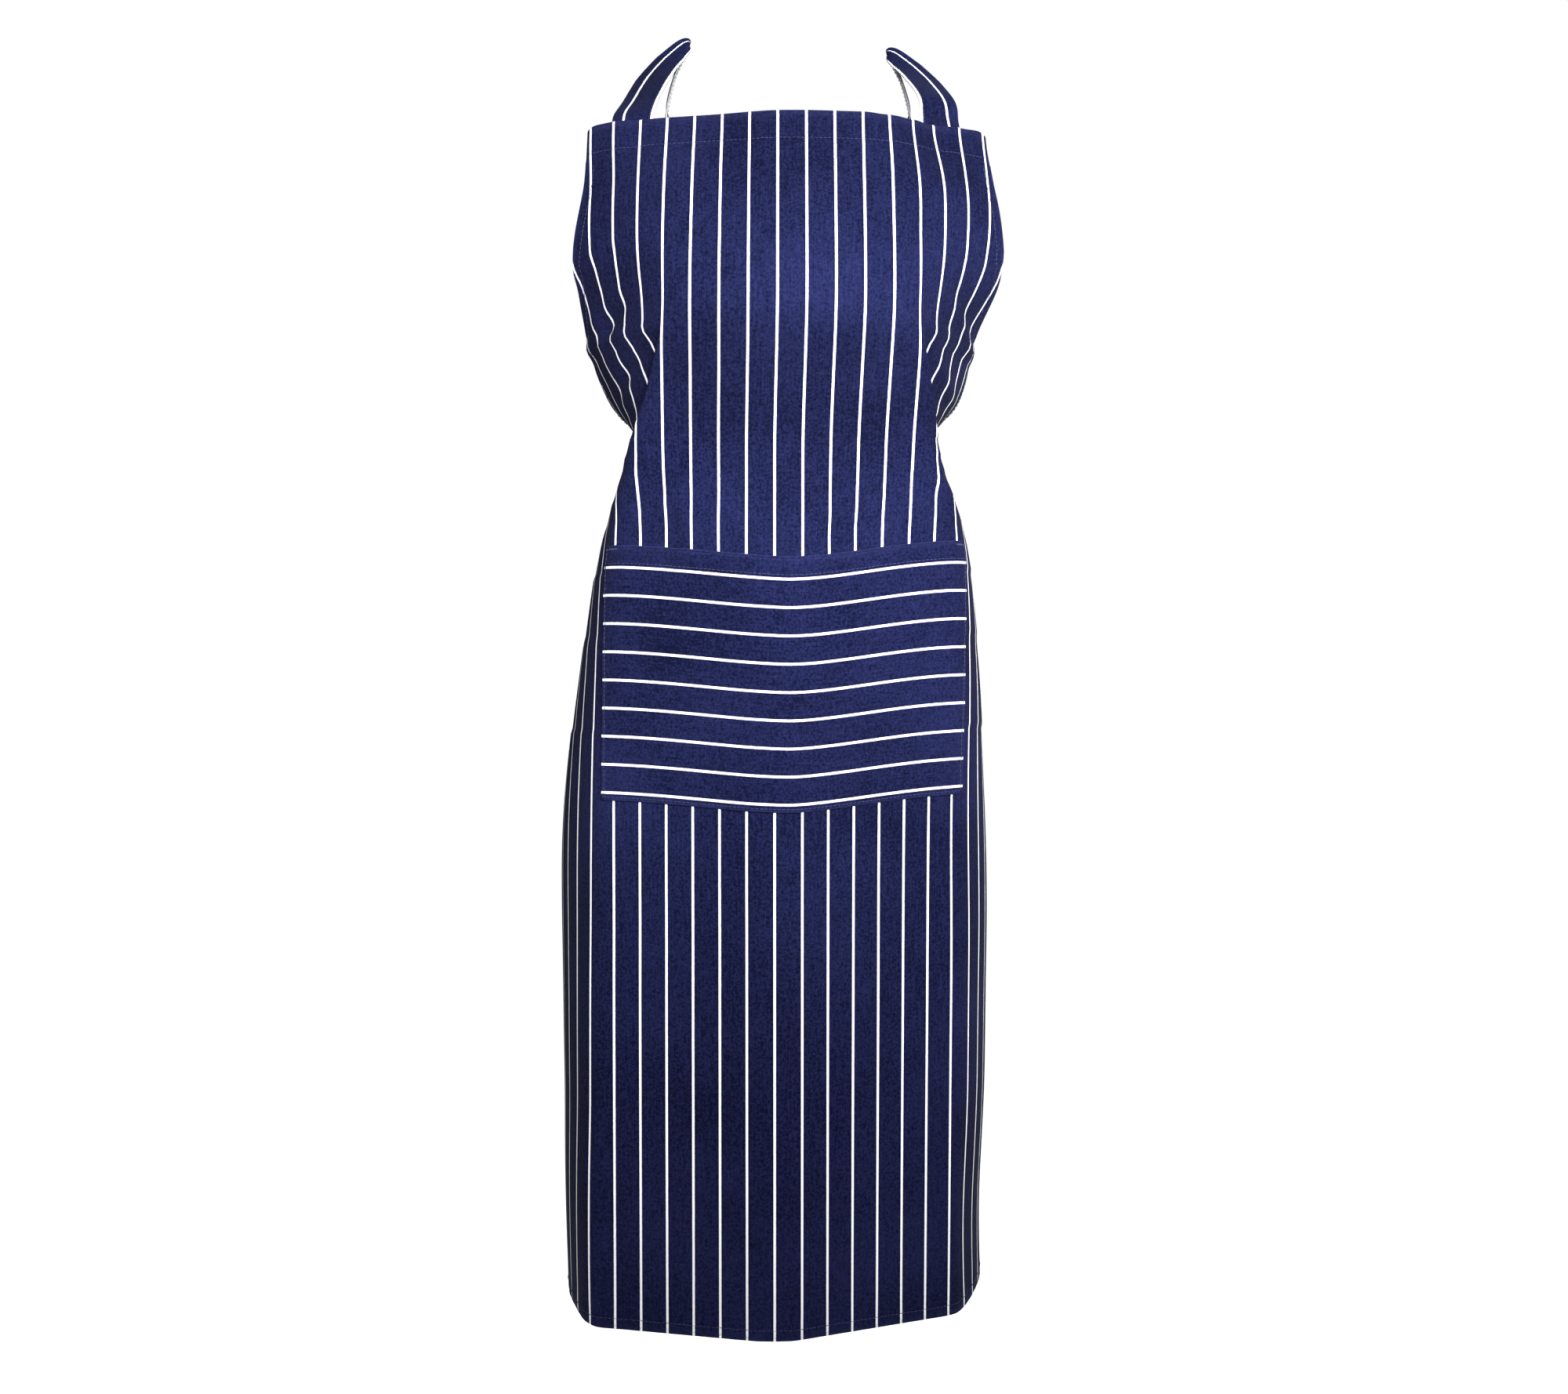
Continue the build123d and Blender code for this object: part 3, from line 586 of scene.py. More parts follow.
def folded_edge(name, profile, places, inwards, surface, woven_at, nodes):
    """A turned-in edge on a surface; places and inwards are (across, height) pairs on the flat cloth."""
    profile = np.array(profile)
    places, inwards = np.asarray(places, float), np.asarray(inwards, float)
    across = places[:, None, 0] + inwards[:, None, 0] * profile[None, :, 0]
    height = places[:, None, 1] + inwards[:, None, 1] * profile[None, :, 0]
    rings = surface(height, across, np.broadcast_to(profile[None, :, 1], across.shape))
    wear = np.broadcast_to(np.exp(-np.abs(profile[None, :, 0] + 0.3) / 1.2), across.shape)
    at = np.stack(woven_at(across, height), axis=-1) * MM
    cloth_piece(sweep(name, rings, at, wear), "apron", nodes)


def panel_weave(across, height):
    """Place on the woven cloth: the panel is cut with its stripes upright."""
    return across, height


def hem(name, places, inwards, width, nodes, inner=-1.95):
    """A hem along an edge of the panel."""
    folded_edge(name, hem_profile(width, inner), places, inwards, cloth, panel_weave, nodes)


def armhole_line(side, first, last, count):
    """Places along the armhole's edge between two angles of its quarter turn, and the ways inwards."""
    angles = np.radians(np.linspace(first, last, count))
    heights = WAIST + ARMHOLE * (1 - np.cos(angles))
    spots = np.stack([side * armhole_edge(heights), heights], axis=1)
    inwards = np.stack([-side * np.sin(angles) / (HALF - BIB_HALF), -np.cos(angles) / ARMHOLE], axis=1)
    return spots, inwards / np.linalg.norm(inwards, axis=1)[:, None]


side_heights = np.arange(1.0, WAIST - 0.5, 4.0)
for label, side in (("left", -1), ("right", 1)):
    spots = [(side * HALF, h) for h in side_heights]
    hem(f"side_hem_cloth_{label}", spots, [(-side, 0)] * len(spots), SIDE_HEM, [f"side_hem_{label}"])
    spots, inwards = armhole_line(side, 11, 83.5, 90)
    hem(f"armhole_hem_cloth_{label}", spots, inwards, SIDE_HEM, [f"armhole_hem_{label}"])

bottom_spots = [(a, 0.0) for a in np.linspace(-HALF + 0.6, HALF - 0.6, 240)]
hem("bottom_hem_cloth", bottom_spots, [(0, 1)] * len(bottom_spots), BOTTOM_HEM, ["bottom_hem"])
top_places = np.linspace(-BIB_HALF + 0.4, BIB_HALF - 0.4, 160)
top_spots = [(a, HEIGHT - float(corner_drop(HEIGHT, a))) for a in top_places]
ROOM_FOR_STRAP = -4.2  # the top hem's inner cloth lies behind the strap's sewn ends
hem("top_hem_cloth", top_spots, [(0, -1)] * len(top_spots), TOP_HEM, ["bib_top_hem"], inner=ROOM_FOR_STRAP)

# ---------------------------------------------------------------- pocket
PATCH = FACE + 1.7  # how far the pocket's cloth lies off the panel at its sewn edges
GAPE = 5.0  # how far its mouth stands open


def pocket_stand(height, across):
    rise = eased((height - POCKET_BOTTOM - BOTTOM_HEM) / 110.0)
    sag = 1.1 * np.sin(across / 31.0 + 0.8) * hump((height - 520) / 100) * (1 - (across / POCKET_HALF) ** 4)
    fill = 1 - np.minimum(np.abs(across) / POCKET_HALF, 1) ** 4
    return PATCH + GAPE * rise * fill + sag


def pocket_cloth(height, across, outward=0.0):
    return cloth(height, across, pocket_stand(height, across) + outward)


FIRST_LINE = 17.3  # the first white line lies this far below the mouth


def pocket_weave(across, height):
    """Place on the woven cloth: the pocket is cut with its stripes running across."""
    return POCKET_TOP - height - (FIRST_LINE - STRIPE / 2), across


pocket_levels = np.linspace(POCKET_BOTTOM, POCKET_TOP, 64)
height, across = np.meshgrid(pocket_levels, np.linspace(-POCKET_HALF, POCKET_HALF, 124), indexing="ij")
to_edge = np.minimum.reduce([height - POCKET_BOTTOM, POCKET_TOP - height, POCKET_HALF - np.abs(across)])
pocket = shell(
    "pocket_cloth",
    pocket_cloth(height, across, POCKET_FACE),
    pocket_cloth(height, across, -POCKET_FACE),
    np.stack(pocket_weave(across, height), axis=-1) * MM,
    np.exp(-to_edge / 2.0),
)
cloth_piece(pocket, "apron", ["pocket_panel"])


def pocket_lip(name, places, inwards, width, node):
    """The pocket's turned-in edge: a lip over the fold, then cloth lying behind."""
    profile = hem_profile(width, -1.25, 0.58)
    folded_edge(name, profile, places, [inwards] * len(places), pocket_cloth, pocket_weave, [node])


mouth = np.linspace(-POCKET_HALF + 0.3, POCKET_HALF - 0.3, 110)
mouth_edge = [(a, POCKET_TOP) for a in mouth]
pocket_lip("pocket_mouth_hem_cloth", mouth_edge, (0, -1), POCKET_HEM, "pocket_mouth_hem")
bottom_edge = [(a, POCKET_BOTTOM) for a in mouth]
pocket_lip("pocket_bottom_turning", bottom_edge, (0, 1), POCKET_TURNING, "pocket_turnings")
upright = np.linspace(POCKET_BOTTOM + 0.5, POCKET_TOP - 0.5, 80)
for label, side in (("left", -1), ("right", 1)):
    side_edge = [(side * POCKET_HALF, h) for h in upright]
    pocket_lip(f"pocket_side_turning_{label}", side_edge, (-side, 0), POCKET_TURNING, "pocket_turnings")


# ---------------------------------------------------------------- topstitching, one stitch at a time
STITCH = 2.9
STITCH_GAP = 0.6
STITCH_INSET = 2.0  # rows of stitches lie this far inside the edge that they hold
STITCH_SHARES = np.array((0.0, 0.12, 0.5, 0.88, 1.0))
STITCH_SINKS = np.array((-0.25, 0.2, 0.32, 0.2, -0.25))  # its ends dive into the cloth
STITCH_SIZES = np.array((0.12, 0.26, 0.26, 0.26, 0.12))
TACK_INSET, TACK_STEP, TACK_TURNS = 4.5, 0.45, 21
TACK_TOP, TACK_BOTTOM = 1.6, 3.4  # below the pocket's mouth
TACK_SHARES = np.array((0.0, 0.15, 0.5, 0.85, 1.0))
TACK_SINKS = np.array((-0.25, 0.1, 0.28, 0.1, -0.25))
TACK_SIZES = np.full(5, 0.24)


def unit(vectors):
    """The same directions with a length of one."""
    return vectors / np.linalg.norm(vectors, axis=-1)[..., None]


def thread_rings(middle, sideways, normal, sizes, sides):
    """Rings of points round lines of thread: (..., along, 3) gives (..., along, sides, 3)."""
    turns = np.linspace(0, 2 * math.pi, sides, endpoint=False)[:, None]
    round_it = np.cos(turns) * sideways[..., None, :] + np.sin(turns) * normal[..., None, :]
    return middle[..., None, :] + sizes[:, None, None] * round_it


def rings_on(surface, height, across, sinks, sizes):
    """Rings of thread that lies on a surface."""
    sinks = np.broadcast_to(sinks, np.shape(height))
    middle = surface(height, across, sinks)
    normal = unit(surface(height, across, sinks + 1.0) - middle)
    sideways = np.cross(unit(np.gradient(middle, axis=-2)), normal)
    return thread_rings(middle, sideways, normal, sizes * MM, 6)


def thread_piece(name, rings, body, nodes=()):
    """One object from many threads: (threads, rings along, points round, 3)."""
    along, sides = rings.shape[1:3]
    faces = []
    for base in range(0, len(rings) * along * sides, along * sides):
        faces += grid_faces(along, sides, wrap=True, base=base)
        faces.append(tuple(base + j for j in range(sides))[::-1])
        faces.append(tuple(base + (along - 1) * sides + j for j in range(sides)))
    return finish_piece(make_piece(name, rings, faces), thread, body, nodes)


def stitches(name, lines, node_name, surface):
    """Separate stitches along one or more lines of (across, height) places."""
    rings = []
    for places in lines:
        places = np.asarray(places, float)
        lengths = run_length(places)
        starts = np.arange(0.5, lengths[-1] - STITCH, STITCH + STITCH_GAP)
        at = starts[:, None] + STITCH_SHARES[None, :] * STITCH
        across, height = (np.interp(at, lengths, places[:, k]) for k in (0, 1))
        rings.append(rings_on(surface, height, across, STITCH_SINKS, STITCH_SIZES))
    return thread_piece(name, np.concatenate(rings), "apron", [node_name])


def run_length(places):
    """Distance along a line at each of its points."""
    return np.concatenate([[0], np.cumsum(np.linalg.norm(np.diff(places, axis=0), axis=1))])


def on_panel(height, across, outward):
    return cloth(height, across, FACE + outward)


def on_pocket(height, across, outward):
    return pocket_cloth(height, across, POCKET_FACE + outward)


def level_line(half, height):
    return [(-half + 1, height), (half - 1, height)]


top_line = level_line(BIB_HALF, HEIGHT - TOP_HEM + STITCH_INSET)
stitches("top_hem_stitches", [top_line], "top_hem_stitching", on_panel)
bottom_line = level_line(HALF, BOTTOM_HEM - STITCH_INSET)
stitches("bottom_hem_stitches", [bottom_line], "bottom_hem_stitching", on_panel)
in_from_side = SIDE_HEM - STITCH_INSET
side_lines = [[(side * (HALF - in_from_side), h) for h in (11.0, WAIST - 20)] for side in (-1, 1)]
stitches("side_hem_stitches", side_lines, "side_hem_stitching", on_panel)
armhole_edges = [armhole_line(side, 12, 83, 120) for side in (-1, 1)]
armhole_lines = [spots + in_from_side * inwards for spots, inwards in armhole_edges]
stitches("armhole_stitches", armhole_lines, "armhole_stitching", on_panel)
low, high, wide = POCKET_BOTTOM + STITCH_INSET, POCKET_TOP - 1.0, POCKET_HALF - STITCH_INSET
round_pocket = [(-wide, high), (-wide, low), (wide, low), (wide, high)]
stitches("pocket_stitches", [round_pocket], "pocket_stitching", on_pocket)
mouth_line = level_line(wide, POCKET_TOP - POCKET_HEM + STITCH_INSET)
stitches("pocket_mouth_stitches", [mouth_line], "pocket_mouth_stitching", on_pocket)


def bar_tack(side):
    """Rings of the close zigzag thread at one corner of the pocket's mouth."""
    places = side * (POCKET_HALF - TACK_INSET - TACK_STEP * np.arange(TACK_TURNS))
    drops = np.resize((TACK_BOTTOM, TACK_TOP), TACK_TURNS)
    zigzag = np.stack([places, POCKET_TOP - drops], axis=1)
    across, height = (zigzag[:-1, k, None] + np.diff(zigzag[:, k])[:, None] * TACK_SHARES for k in (0, 1))
    return rings_on(on_pocket, height, across, TACK_SINKS, TACK_SIZES)


tacks = np.concatenate([bar_tack(-1), bar_tack(1)])
thread_piece("pocket_bar_tack_threads", tacks, "apron", ["pocket_bar_tacks"])


# ---------------------------------------------------------------- straps and ties
def smooth_curve(points, count):
    """Points spaced along a smooth curve (Catmull-Rom) through the given ones."""
    points = np.asarray(points, float)
    t = np.linspace(0, len(points) - 1, count)
    i = np.minimum(t.astype(int), len(points) - 2)
    u = (t - i)[:, None]
    a, b = points[np.maximum(i - 1, 0)], points[i]
    c, d = points[i + 1], points[np.minimum(i + 2, len(points) - 1)]
    first, second, third = c - a, a * 2 - b * 5 + c * 4 - d, b * 3 - a - c * 3 + d
    return b + 0.5 * (first * u + second * u**2 + third * u**3)


def ribbon_profile(width, thick):
    """Outline across a folded strap: rounded fold at each edge, slightly fuller there."""
    half, t = width / 2, thick / 2
    face = [(x * (half - 1.2), t * (0.86 + 0.14 * abs(x) ** 4)) for x in np.linspace(-1, 1, 13)]
    nose = [(half - 1.2 + 1.2 * math.sin(a), t * math.cos(a)) for a in (0.6, 1.1, 1.57, 2.04, 2.54)]
    outline = face + nose + [(-x, -y) for x, y in face] + [(-x, -y) for x, y in nose]
    return np.array(outline)


def ribbon_frame(path, widths):
    """Directions across a ribbon and off its face at each point of its path."""
    ahead = unit(np.gradient(path, axis=0))
    across = unit(widths - ahead * np.sum(widths * ahead, axis=1)[:, None])
    return across, np.cross(ahead, across)


def ribbon(name, path, widths, scales, cup, along_start=0.0):
    """Strap mesh along a path (millimetres from the origin); widths point across it."""
    across, normal = ribbon_frame(path, widths)
    profile = ribbon_profile(STRAP_WIDTH, STRAP_THICK)
    shape = np.abs(profile[None, :, 0]) / (STRAP_WIDTH / 2)
    out = profile[None, :, 0] * scales[:, None]
    up = profile[None, :, 1] + cup[:, None] * (shape**2 - 0.33)
    ring = path[:, None] + out[..., None] * across[:, None] + up[..., None] * normal[:, None]
    along = run_length(path) + along_start
    woven = np.broadcast_to(profile[None, :, 0] - STRIPE_SHIFT + STRIPE / 2, out.shape)
    at = np.stack([woven, np.broadcast_to(along[:, None], out.shape)], axis=-1) * MM
    wear = np.broadcast_to(np.clip(shape - 0.9, 0, 0.1) * 9, out.shape)
    return sweep(name, ring * MM, at, wear)


STRAP_STITCH = np.array((0.0, 0.5, 1.5, 2.5, 3.0))
STRAP_STITCH_STEP = 3.6
STRAP_SINKS = np.array((-0.4, 0.1, 0.2, 0.1, -0.4))
STRAP_STITCH_SIZES = np.array((0.1, 0.22, 0.22, 0.22, 0.1))


def strap_stitches(name, path, widths, scales, body, row=STRAP_SEAM):
    """Topstitching down one side of a strap, on both faces."""
    across, normal = ribbon_frame(path, widths)
    lengths = run_length(path)
    at = np.arange(1.0, lengths[-1] - 4, STRAP_STITCH_STEP)[:, None] + STRAP_STITCH[None, :]
    centre, sideways, off_face = (
        np.stack([np.interp(at, lengths, values[:, k]) for k in range(3)], axis=-1)
        for values in (path, across, normal)
    )
    wide = np.interp(at, lengths, scales)
    rings = []
    for face in (-1, 1):
        up = (STRAP_THICK / 2 + STRAP_SINKS)[None, :, None] * face
        middle = centre + sideways * (row * wide)[..., None] + off_face * up
        rings.append(thread_rings(middle, sideways, off_face, STRAP_STITCH_SIZES, 5))
    return thread_piece(name, np.concatenate(rings) * MM, body)


def mirror(values):
    return [(-x, y, z) for x, y, z in values]


def table_place(x, depth, height):
    return (x - NAPE[0], depth - NAPE[1], height - NAPE[2])


# the neck strap: sewn end, shoulder, nape, and back again
LEFT_RISE = [
    table_place(-120, 38, 998),
    table_place(-111, 64, 1026),
    table_place(-99, 86, 1050),
    table_place(-84, 104, 1070),
    table_place(-98, 124, 1049),
    table_place(-106, 148, 1019),
    table_place(-88, 176, 1006),
    table_place(-44, 190, 1003),
    table_place(0, 192, 1002),
]
LEFT_WIDTHS = [
    (0.91, -0.38, -0.02),
    (0.90, -0.42, -0.05),
    (0.86, -0.40, -0.25),
    (-0.20, -0.20, -0.95),
    (-0.10, -0.50, -0.85),
    (0.00, -0.50, -0.85),
    (0.00, -0.30, -0.95),
    (0.00, -0.20, -0.97),
    (0.00, -0.15, -0.98),
]
# how much of its width the strap keeps: it creases lengthwise where it bends over the shoulder
LEFT_SCALES = [1.0, 1.0, 0.80, 0.15, 0.36, 0.66, 0.95, 1.0, 1.0]
RIGHT_SLACK = 0.88  # the loop rises less on the wearer's left
STRAP_ACROSS = 131.0
STRAP_LEAN = 8.0
SEWN_OFF = -2.6  # the sewn ends lie this far behind the bib's middle layer
SEWN_CUP = 3.4  # and are hollow by this much, so that their edges keep behind the bib
NECK_STEPS = 260
SEWN_STEPS = 14  # steps of the path that lie inside the hem


def sewn_end(side):
    """From low in the top hem up to the bib's edge, between the bib and its hem."""
    low, seam = (
        tuple(cloth(h, side * (STRAP_ACROSS + lean), SEWN_OFF) / MM)
        for h, lean in ((HEIGHT - TOP_HEM + 3.5, STRAP_LEAN), (HEIGHT - 1.0, 0.0))
    )
    return low, seam


left_low, left_seam = sewn_end(-1)
right_low, right_seam = sewn_end(1)
left_top = (left_seam[0] + 1.5, left_seam[1] + 8.0, left_seam[2] + 12.0)
right_top = (right_seam[0] - 1.5, right_seam[1] + 8.0, right_seam[2] + 12.0)
right_rise = [(-x, y, RIGHT_SLACK * z) for x, y, z in LEFT_RISE[-2::-1]]
key_points = [left_low, left_seam, left_top] + LEFT_RISE + right_rise + [right_top, right_seam, right_low]


def along_seam(side):
    """Direction along the bib's top edge at the strap's seam, pointing in towards the neck."""
    inner, outer = (cloth(HEIGHT - 1.0, side * (STRAP_ACROSS + d), 0.0) for d in (-14, 14))
    return tuple((inner - outer) / np.linalg.norm(inner - outer))


key_widths = [along_seam(-1)] * 3 + LEFT_WIDTHS + mirror(LEFT_WIDTHS[-2::-1]) + [along_seam(1)] * 3
key_scales = [1.0] * 3 + LEFT_SCALES + LEFT_SCALES[-2::-1] + [1.0] * 3
neck_path = smooth_curve(key_points, NECK_STEPS)
neck_widths = smooth_curve(key_widths, NECK_STEPS)
keys = np.arange(len(key_scales))
neck_scales = np.interp(np.linspace(0, keys[-1], NECK_STEPS), keys, key_scales)
from_end = np.minimum(np.arange(NECK_STEPS), np.arange(NECK_STEPS)[::-1])
neck_cup = 0.8 * np.sin(np.linspace(0, math.pi, NECK_STEPS)) + 0.35 * np.sin(np.linspace(0, 21, NECK_STEPS))
neck_cup = neck_cup + SEWN_CUP * (1 - eased((from_end - SEWN_STEPS) / 22.0))
neck = ribbon("neck_strap_cloth", neck_path, neck_widths, scales=neck_scales, cup=neck_cup * neck_scales)
cloth_piece(neck, None, ["neck_strap", "strap_end_left", "strap_end_right"])
free = slice(SEWN_STEPS, -SEWN_STEPS)
neck_sewing = strap_stitches(
    "neck_strap_stitches", neck_path[free], neck_widths[free], neck_scales[free], None
)
for piece in (neck, neck_sewing):
    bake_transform(piece)

# ---------------------------------------------------------------- waist ties, knot, loops and tails
knot_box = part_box("bow_knot")
KNOT = (np.array(knot_box[0]) + np.array(knot_box[1])) / 2 / MM
KNOT_SIZE = (30.0, 26.0, 40.0)
TIE_MID = WAIST - STRAP_WIDTH / 2 - 3.0
TIE_OVERLAP = 22.0
TIE_SEWN = 5  # steps of the tie's key points that lie on the panel
TIE_STEPS, TIE_SEEN = 70, 60  # steps of its path, and those outside the knot
TIE_PINCH, TIE_CUP = 0.36, 3.2  # how much narrower and how hollow the tie gets towards the knot


def tie_run(side):
    """The tie's middle line and width directions: sewn on the corner, then taut to the knot."""
    middles, widths = [], []
    for k in range(TIE_SEWN + 1):
        across = side * (HALF - TIE_OVERLAP + (TIE_OVERLAP + 0.5) * k / TIE_SEWN)
        upper = cloth(TIE_MID + STRAP_WIDTH / 2, across, FACE + 1.25) / MM
        lower = cloth(TIE_MID - STRAP_WIDTH / 2, across, FACE + 1.25) / MM
        middles.append((upper + lower) / 2)
        widths.append(unit(upper - lower))
    end = np.array((side * (KNOT_SIZE[0] / 2 - 5.0), KNOT[1] - 7.0, KNOT[2]))
    start, sewn_width = middles[-1], widths[-1]
    for share in (0.2, 0.45, 0.7, 1.0):
        middles.append(start + (end - start) * share + np.array((0, -1.2, 0)) * math.sin(math.pi * share))
        widths.append(sewn_width * (1 - share) + np.array((0.0, 0.12, 1.0)) * share)
    return middles, widths


for label, side in (("left", -1), ("right", 1)):
    middles, widths = tie_run(side)
    path, across = smooth_curve(middles, TIE_STEPS), smooth_curve(widths, TIE_STEPS)
    near_knot = eased(np.linspace(-0.9, 1.05, TIE_STEPS))
    pinch = 1 - TIE_PINCH * near_knot
    cup = TIE_CUP * near_knot
    tie = ribbon(f"waist_tie_cloth_{label}", path, across, scales=pinch, cup=cup)
    cloth_piece(tie, "apron", [f"waist_tie_{label}"])
    seen = slice(TIE_SEEN)
    strap_stitches(f"waist_tie_stitches_{label}", path[seen], across[seen], pinch[seen], "apron")


KNOT_SQUARENESS = 3.2
KNOT_HALF = 13.8  # half the width of the wound cloth


def knot_wrap():
    """The cloth wound round the middle of the bow: full, with gathers that run round it."""
    cols, rows_across = 72, 41
    turn = np.linspace(0, 2 * math.pi, cols, endpoint=False)
    xs = np.linspace(-1, 1, rows_across)
    rings = []
    for x in xs:
        full = (1 - abs(x) ** KNOT_SQUARENESS) ** 0.5
        gather = 1 + 0.055 * math.cos(9.5 * x + 0.6) * (1 - abs(x) ** 4)
        size = (0.72 + 0.28 * full) * gather
        c, s = np.cos(turn), np.sin(turn)
        corner = np.abs(c) ** KNOT_SQUARENESS + np.abs(s) ** KNOT_SQUARENESS
        round_off = corner ** (-1 / KNOT_SQUARENESS)
        crease = 1 - 0.06 * np.exp(-(((turn - 1.9 - 0.35 * x) / 0.16) ** 2))
        y = KNOT_SIZE[1] / 2 * c * round_off * size * crease
        z = KNOT_SIZE[2] / 2 * s * round_off * size * crease * 0.98
        slant = 2.2 * np.sin(turn)
        rings.append(np.stack([x * KNOT_HALF + slant * 0.6, y, z], axis=-1))
    rings = np.array(rings) + KNOT
    woven = np.meshgrid(xs * 17 + STRIPE / 2 + 4, turn * 17, indexing="ij")
    at = np.stack(woven, axis=-1)
    rub = np.broadcast_to((np.abs(xs) > 0.9)[:, None] * 0.6, (rows_across, cols))
    return sweep("bow_knot_cloth", rings * MM, at * MM, rub)


cloth_piece(knot_wrap(), "apron", ["bow_knot"])

LOOP_START = KNOT_SIZE[0] / 2 - 5.0
DROOP = math.radians(22.0)
# The bow loop from the knot and back: distance out, backwards, and below its middle line.
LOOP_SHAPE = (
    (0, 1.0, 4.0),
    (16, 3.4, 2.0),
    (36, 7.6, 0.6),
    (66, 9.6, 0.0),
    (98, 9.2, 0.0),
    (118, 6.4, 0.0),
    (126.5, 0.0, 0.0),
    (118, -6.2, 0.0),
    (98, -9.0, 0.0),
    (66, -9.0, 0.2),
    (36, -6.8, 0.8),
    (16, -3.2, 2.0),
    (0, -1.0, 4.0),
)
LOOP_STEPS = 150
BACKWARD = np.array((0, 1, 0))
for label, side in (("left", -1), ("right", 1)):
    outward = np.array((side * math.cos(DROOP), 0, -math.sin(DROOP)))
    upward = np.array((side * math.sin(DROOP), 0, math.cos(DROOP)))
    middle = KNOT + np.array((0, 5.0, 13.0))
    key = [middle + outward * (LOOP_START + d) + BACKWARD * e - upward * g for d, e, g in LOOP_SHAPE]
    path = smooth_curve(key, LOOP_STEPS)
    distance = (path - middle) @ outward
    squeeze = 0.62 + 0.38 * eased((distance - 10) / 55.0)
    fold = -3.0 * (1 - eased((distance - 12) / 60.0)) + 0.7 * np.sin(distance / 11.0)
    across = np.broadcast_to(upward, path.shape)
    loop = ribbon(f"bow_loop_cloth_{label}", path, across, scales=squeeze, cup=fold, along_start=90.0)
    cloth_piece(loop, None, [f"bow_loop_{label}"])
    free = slice(14, -14)
    sewing = strap_stitches(
        f"bow_loop_stitches_{label}", path[free], across[free], squeeze[free], None, row=-STRAP_SEAM
    )
    for piece in (loop, sewing):
        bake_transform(piece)

# The tail from the knot down: out to its side, backwards, share of its length, share of its width.
TAIL_SHAPE = (
    (-11.5, 0.0, -0.022, 0.55),
    (-6.0, 0.5, 0.03, 0.66),
    (0.0, 2.0, 0.1, 0.9),
    (1.0, 3.2, 0.2, 1.0),
    (4.0, 5.0, 0.42, 1.0),
    (9.0, 2.0, 0.66, 1.0),
    (11.0, -2.0, 0.85, 1.0),
    (11.5, 1.0, 1.0, 1.0),
)
TAIL_LENGTH = 520.0
TAIL_STEPS = 190
TAIL_TOP = KNOT[2] - KNOT_SIZE[2] / 2 - 2.5
for label, side in (("left", -1), ("right", 1)):
    key = [(side * (19.0 + a), KNOT[1] + b, TAIL_TOP - TAIL_LENGTH * c) for a, b, c, _ in TAIL_SHAPE]
    path = smooth_curve(key, TAIL_STEPS)
    squeeze = smooth_curve([(d,) for _, _, _, d in TAIL_SHAPE], TAIL_STEPS)[:, 0]
    twist = np.linspace(0, 1, TAIL_STEPS)
    lean = side * 0.32 * np.sin(2.4 * twist + 0.3) * eased(twist * 6)
    across = np.stack([np.cos(lean), np.sin(lean), 0 * lean], axis=1)
    fold = 2.6 * (1 - eased(twist * 5)) + 0.8 * np.sin(twist * 9 + side)
    tail = ribbon(f"tie_tail_cloth_{label}", path, across, scales=squeeze, cup=fold, along_start=330.0)
    cloth_piece(tail, None, [f"tie_tail_{label}"])
    free = slice(22, None)
    sewing = strap_stitches(f"tie_tail_stitches_{label}", path[free], across[free], squeeze[free], None)
    for piece in (tail, sewing):
        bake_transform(piece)


# ---------------------------------------------------------------- studio
def glowing_paper(name, colour, roughness, glow):
    material, _, shader = new_material(name)
    set_inputs(shader, {"Base Color": colour, "Roughness": roughness})
    set_inputs(shader, {"Emission Color": (1, 1, 1, 1), "Emission Strength": glow})
    return material


def studio_plane():
    """Plain pale floor, half a metre below the hem, where a wearer would stand."""
    near, far, side, level = -0.4, 4.0, 3.0, -1.5
    points = [(-side, near, level), (side, near, level), (side, far, level), (-side, far, level)]
    return make_piece("studio_floor", points, [(0, 1, 2, 3)])


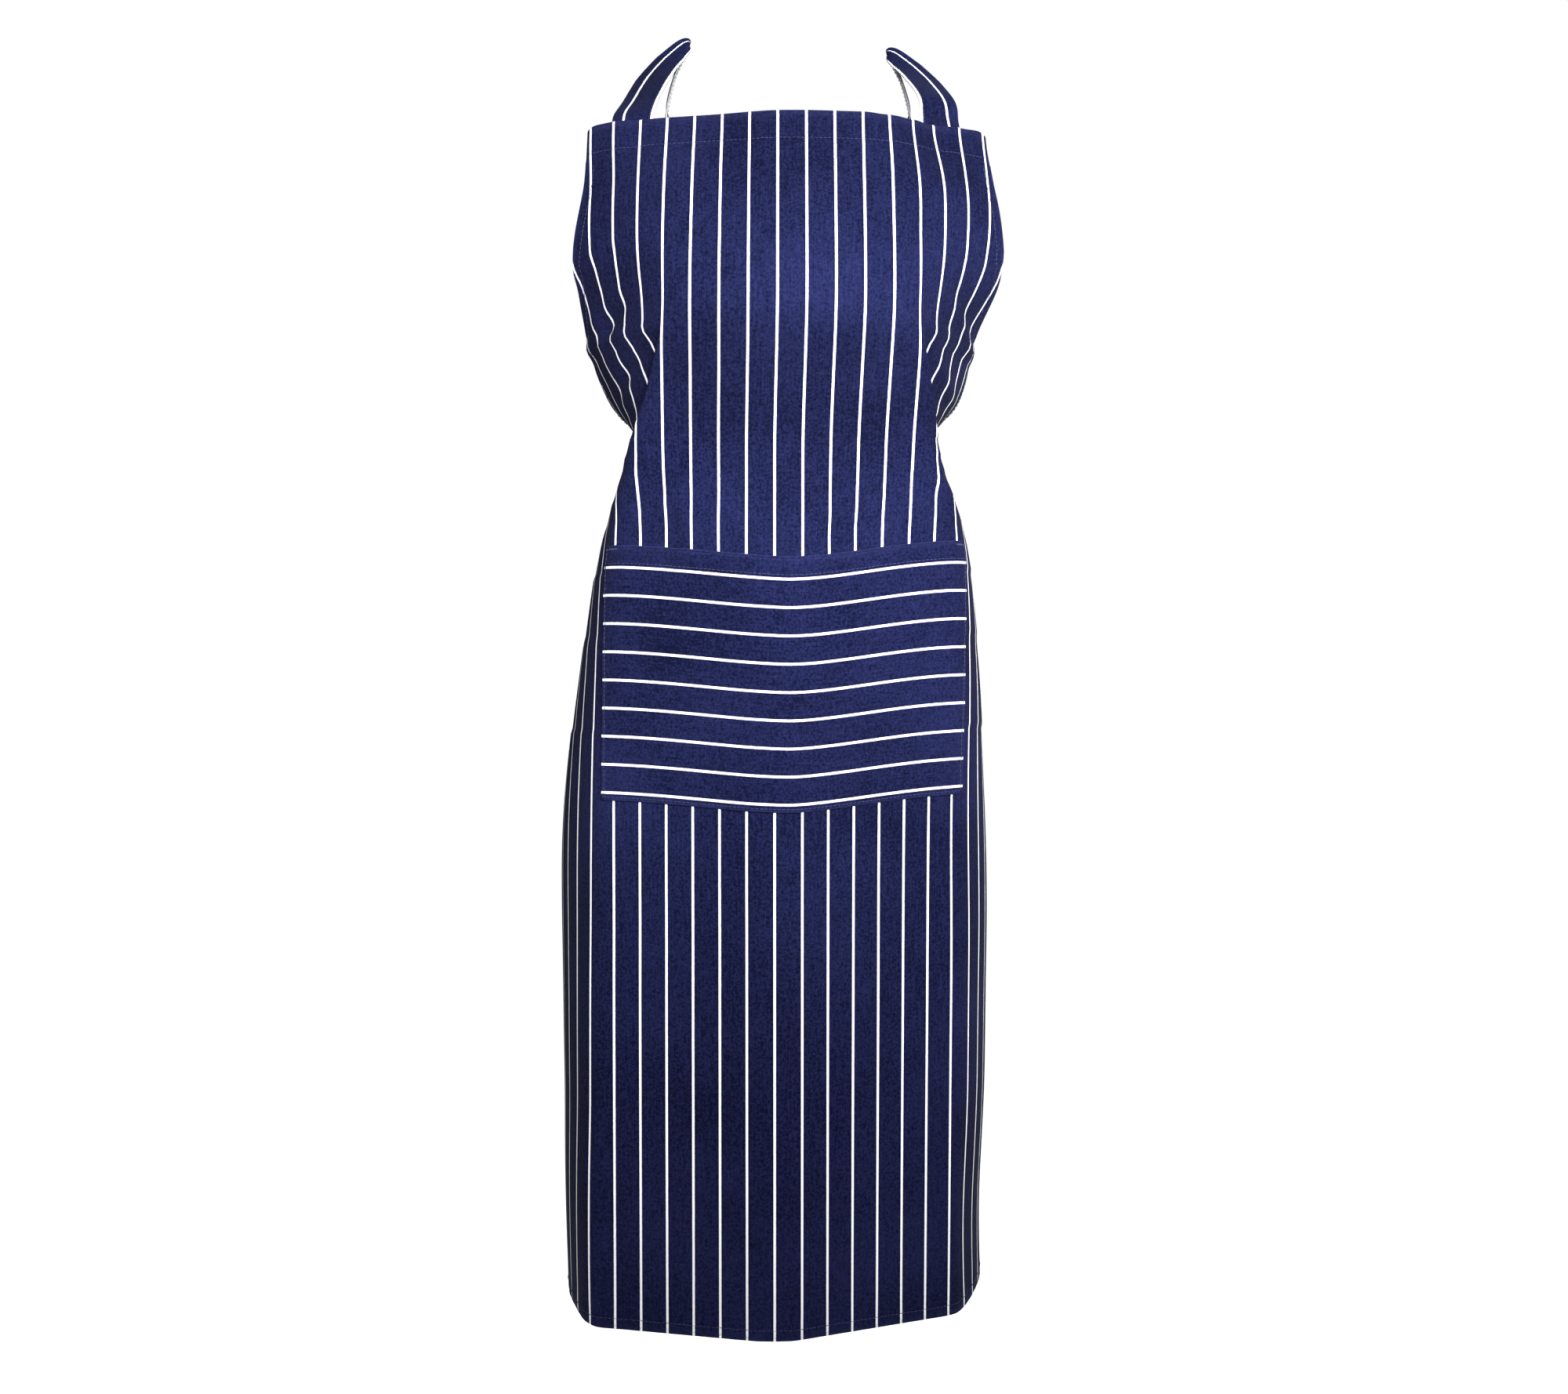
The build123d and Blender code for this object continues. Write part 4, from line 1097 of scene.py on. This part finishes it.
studio_floor = studio_plane()
studio_floor.data.materials.append(glowing_paper("pale_paper", (0.93, 0.93, 0.94, 1), 0.9, 0.95))


def soft_light(name, place, aim, size, power, spread=180):
    """A rectangular light aimed at a point; spread is how wide it shines, in degrees."""
    light = bpy.data.lights.new(name, "AREA")
    light.shape = "RECTANGLE"
    light.size, light.size_y = size
    light.energy = power
    light.spread = math.radians(spread)
    obj = bpy.data.objects.new(name, light)
    bpy.context.scene.collection.objects.link(obj)
    obj.location = place
    direction = np.array(aim, float) - np.array(place, float)
    yaw = math.atan2(direction[0], -direction[1])
    pitch = math.atan2(math.hypot(direction[0], direction[1]), -direction[2])
    obj.rotation_euler = (pitch, 0, yaw + math.pi)


soft_light("key_light", (0.35, -1.35, -0.05), (0, 0, -0.31), (1.0, 0.8), 11.6, 62)
soft_light("fill_light", (-1.3, -2.2, 0.3), (0, 0, -0.3), (1.4, 1.2), 3.0, 110)
soft_light("back_light", (0.3, 1.9, 1.6), (0, 0, -0.4), (2.2, 1.2), 22)

SKY_SEEN, SKY_LIGHT = 1.0, 0.08  # the background is white to the camera and dim as a light
world = bpy.data.worlds.new("studio_world")
bpy.context.scene.world = world
world.use_nodes = True
sky = world.node_tree.nodes["Background"]
sky.inputs[0].default_value = (1, 1, 1, 1)
rays = world.node_tree.nodes.new("ShaderNodeLightPath")
seen = rays.outputs["Is Camera Ray"]
strength = calc(world.node_tree, "MULTIPLY_ADD", seen, SKY_SEEN - SKY_LIGHT, SKY_LIGHT)
world.node_tree.links.new(strength, sky.inputs[1])

CAMERA_PLACE = (-0.0037, -1.492, -0.487)
CAMERA_LENS = 37.94
camera_data = bpy.data.cameras.new("camera")
camera_data.lens = CAMERA_LENS
camera_data.sensor_width = 36.0
camera_data.clip_end = 50
camera = bpy.data.objects.new("camera", camera_data)
bpy.context.scene.collection.objects.link(camera)
camera.location = CAMERA_PLACE
camera.rotation_euler = (math.pi / 2, 0, 0)
bpy.context.scene.camera = camera
bpy.context.scene.view_settings.view_transform = "Standard"
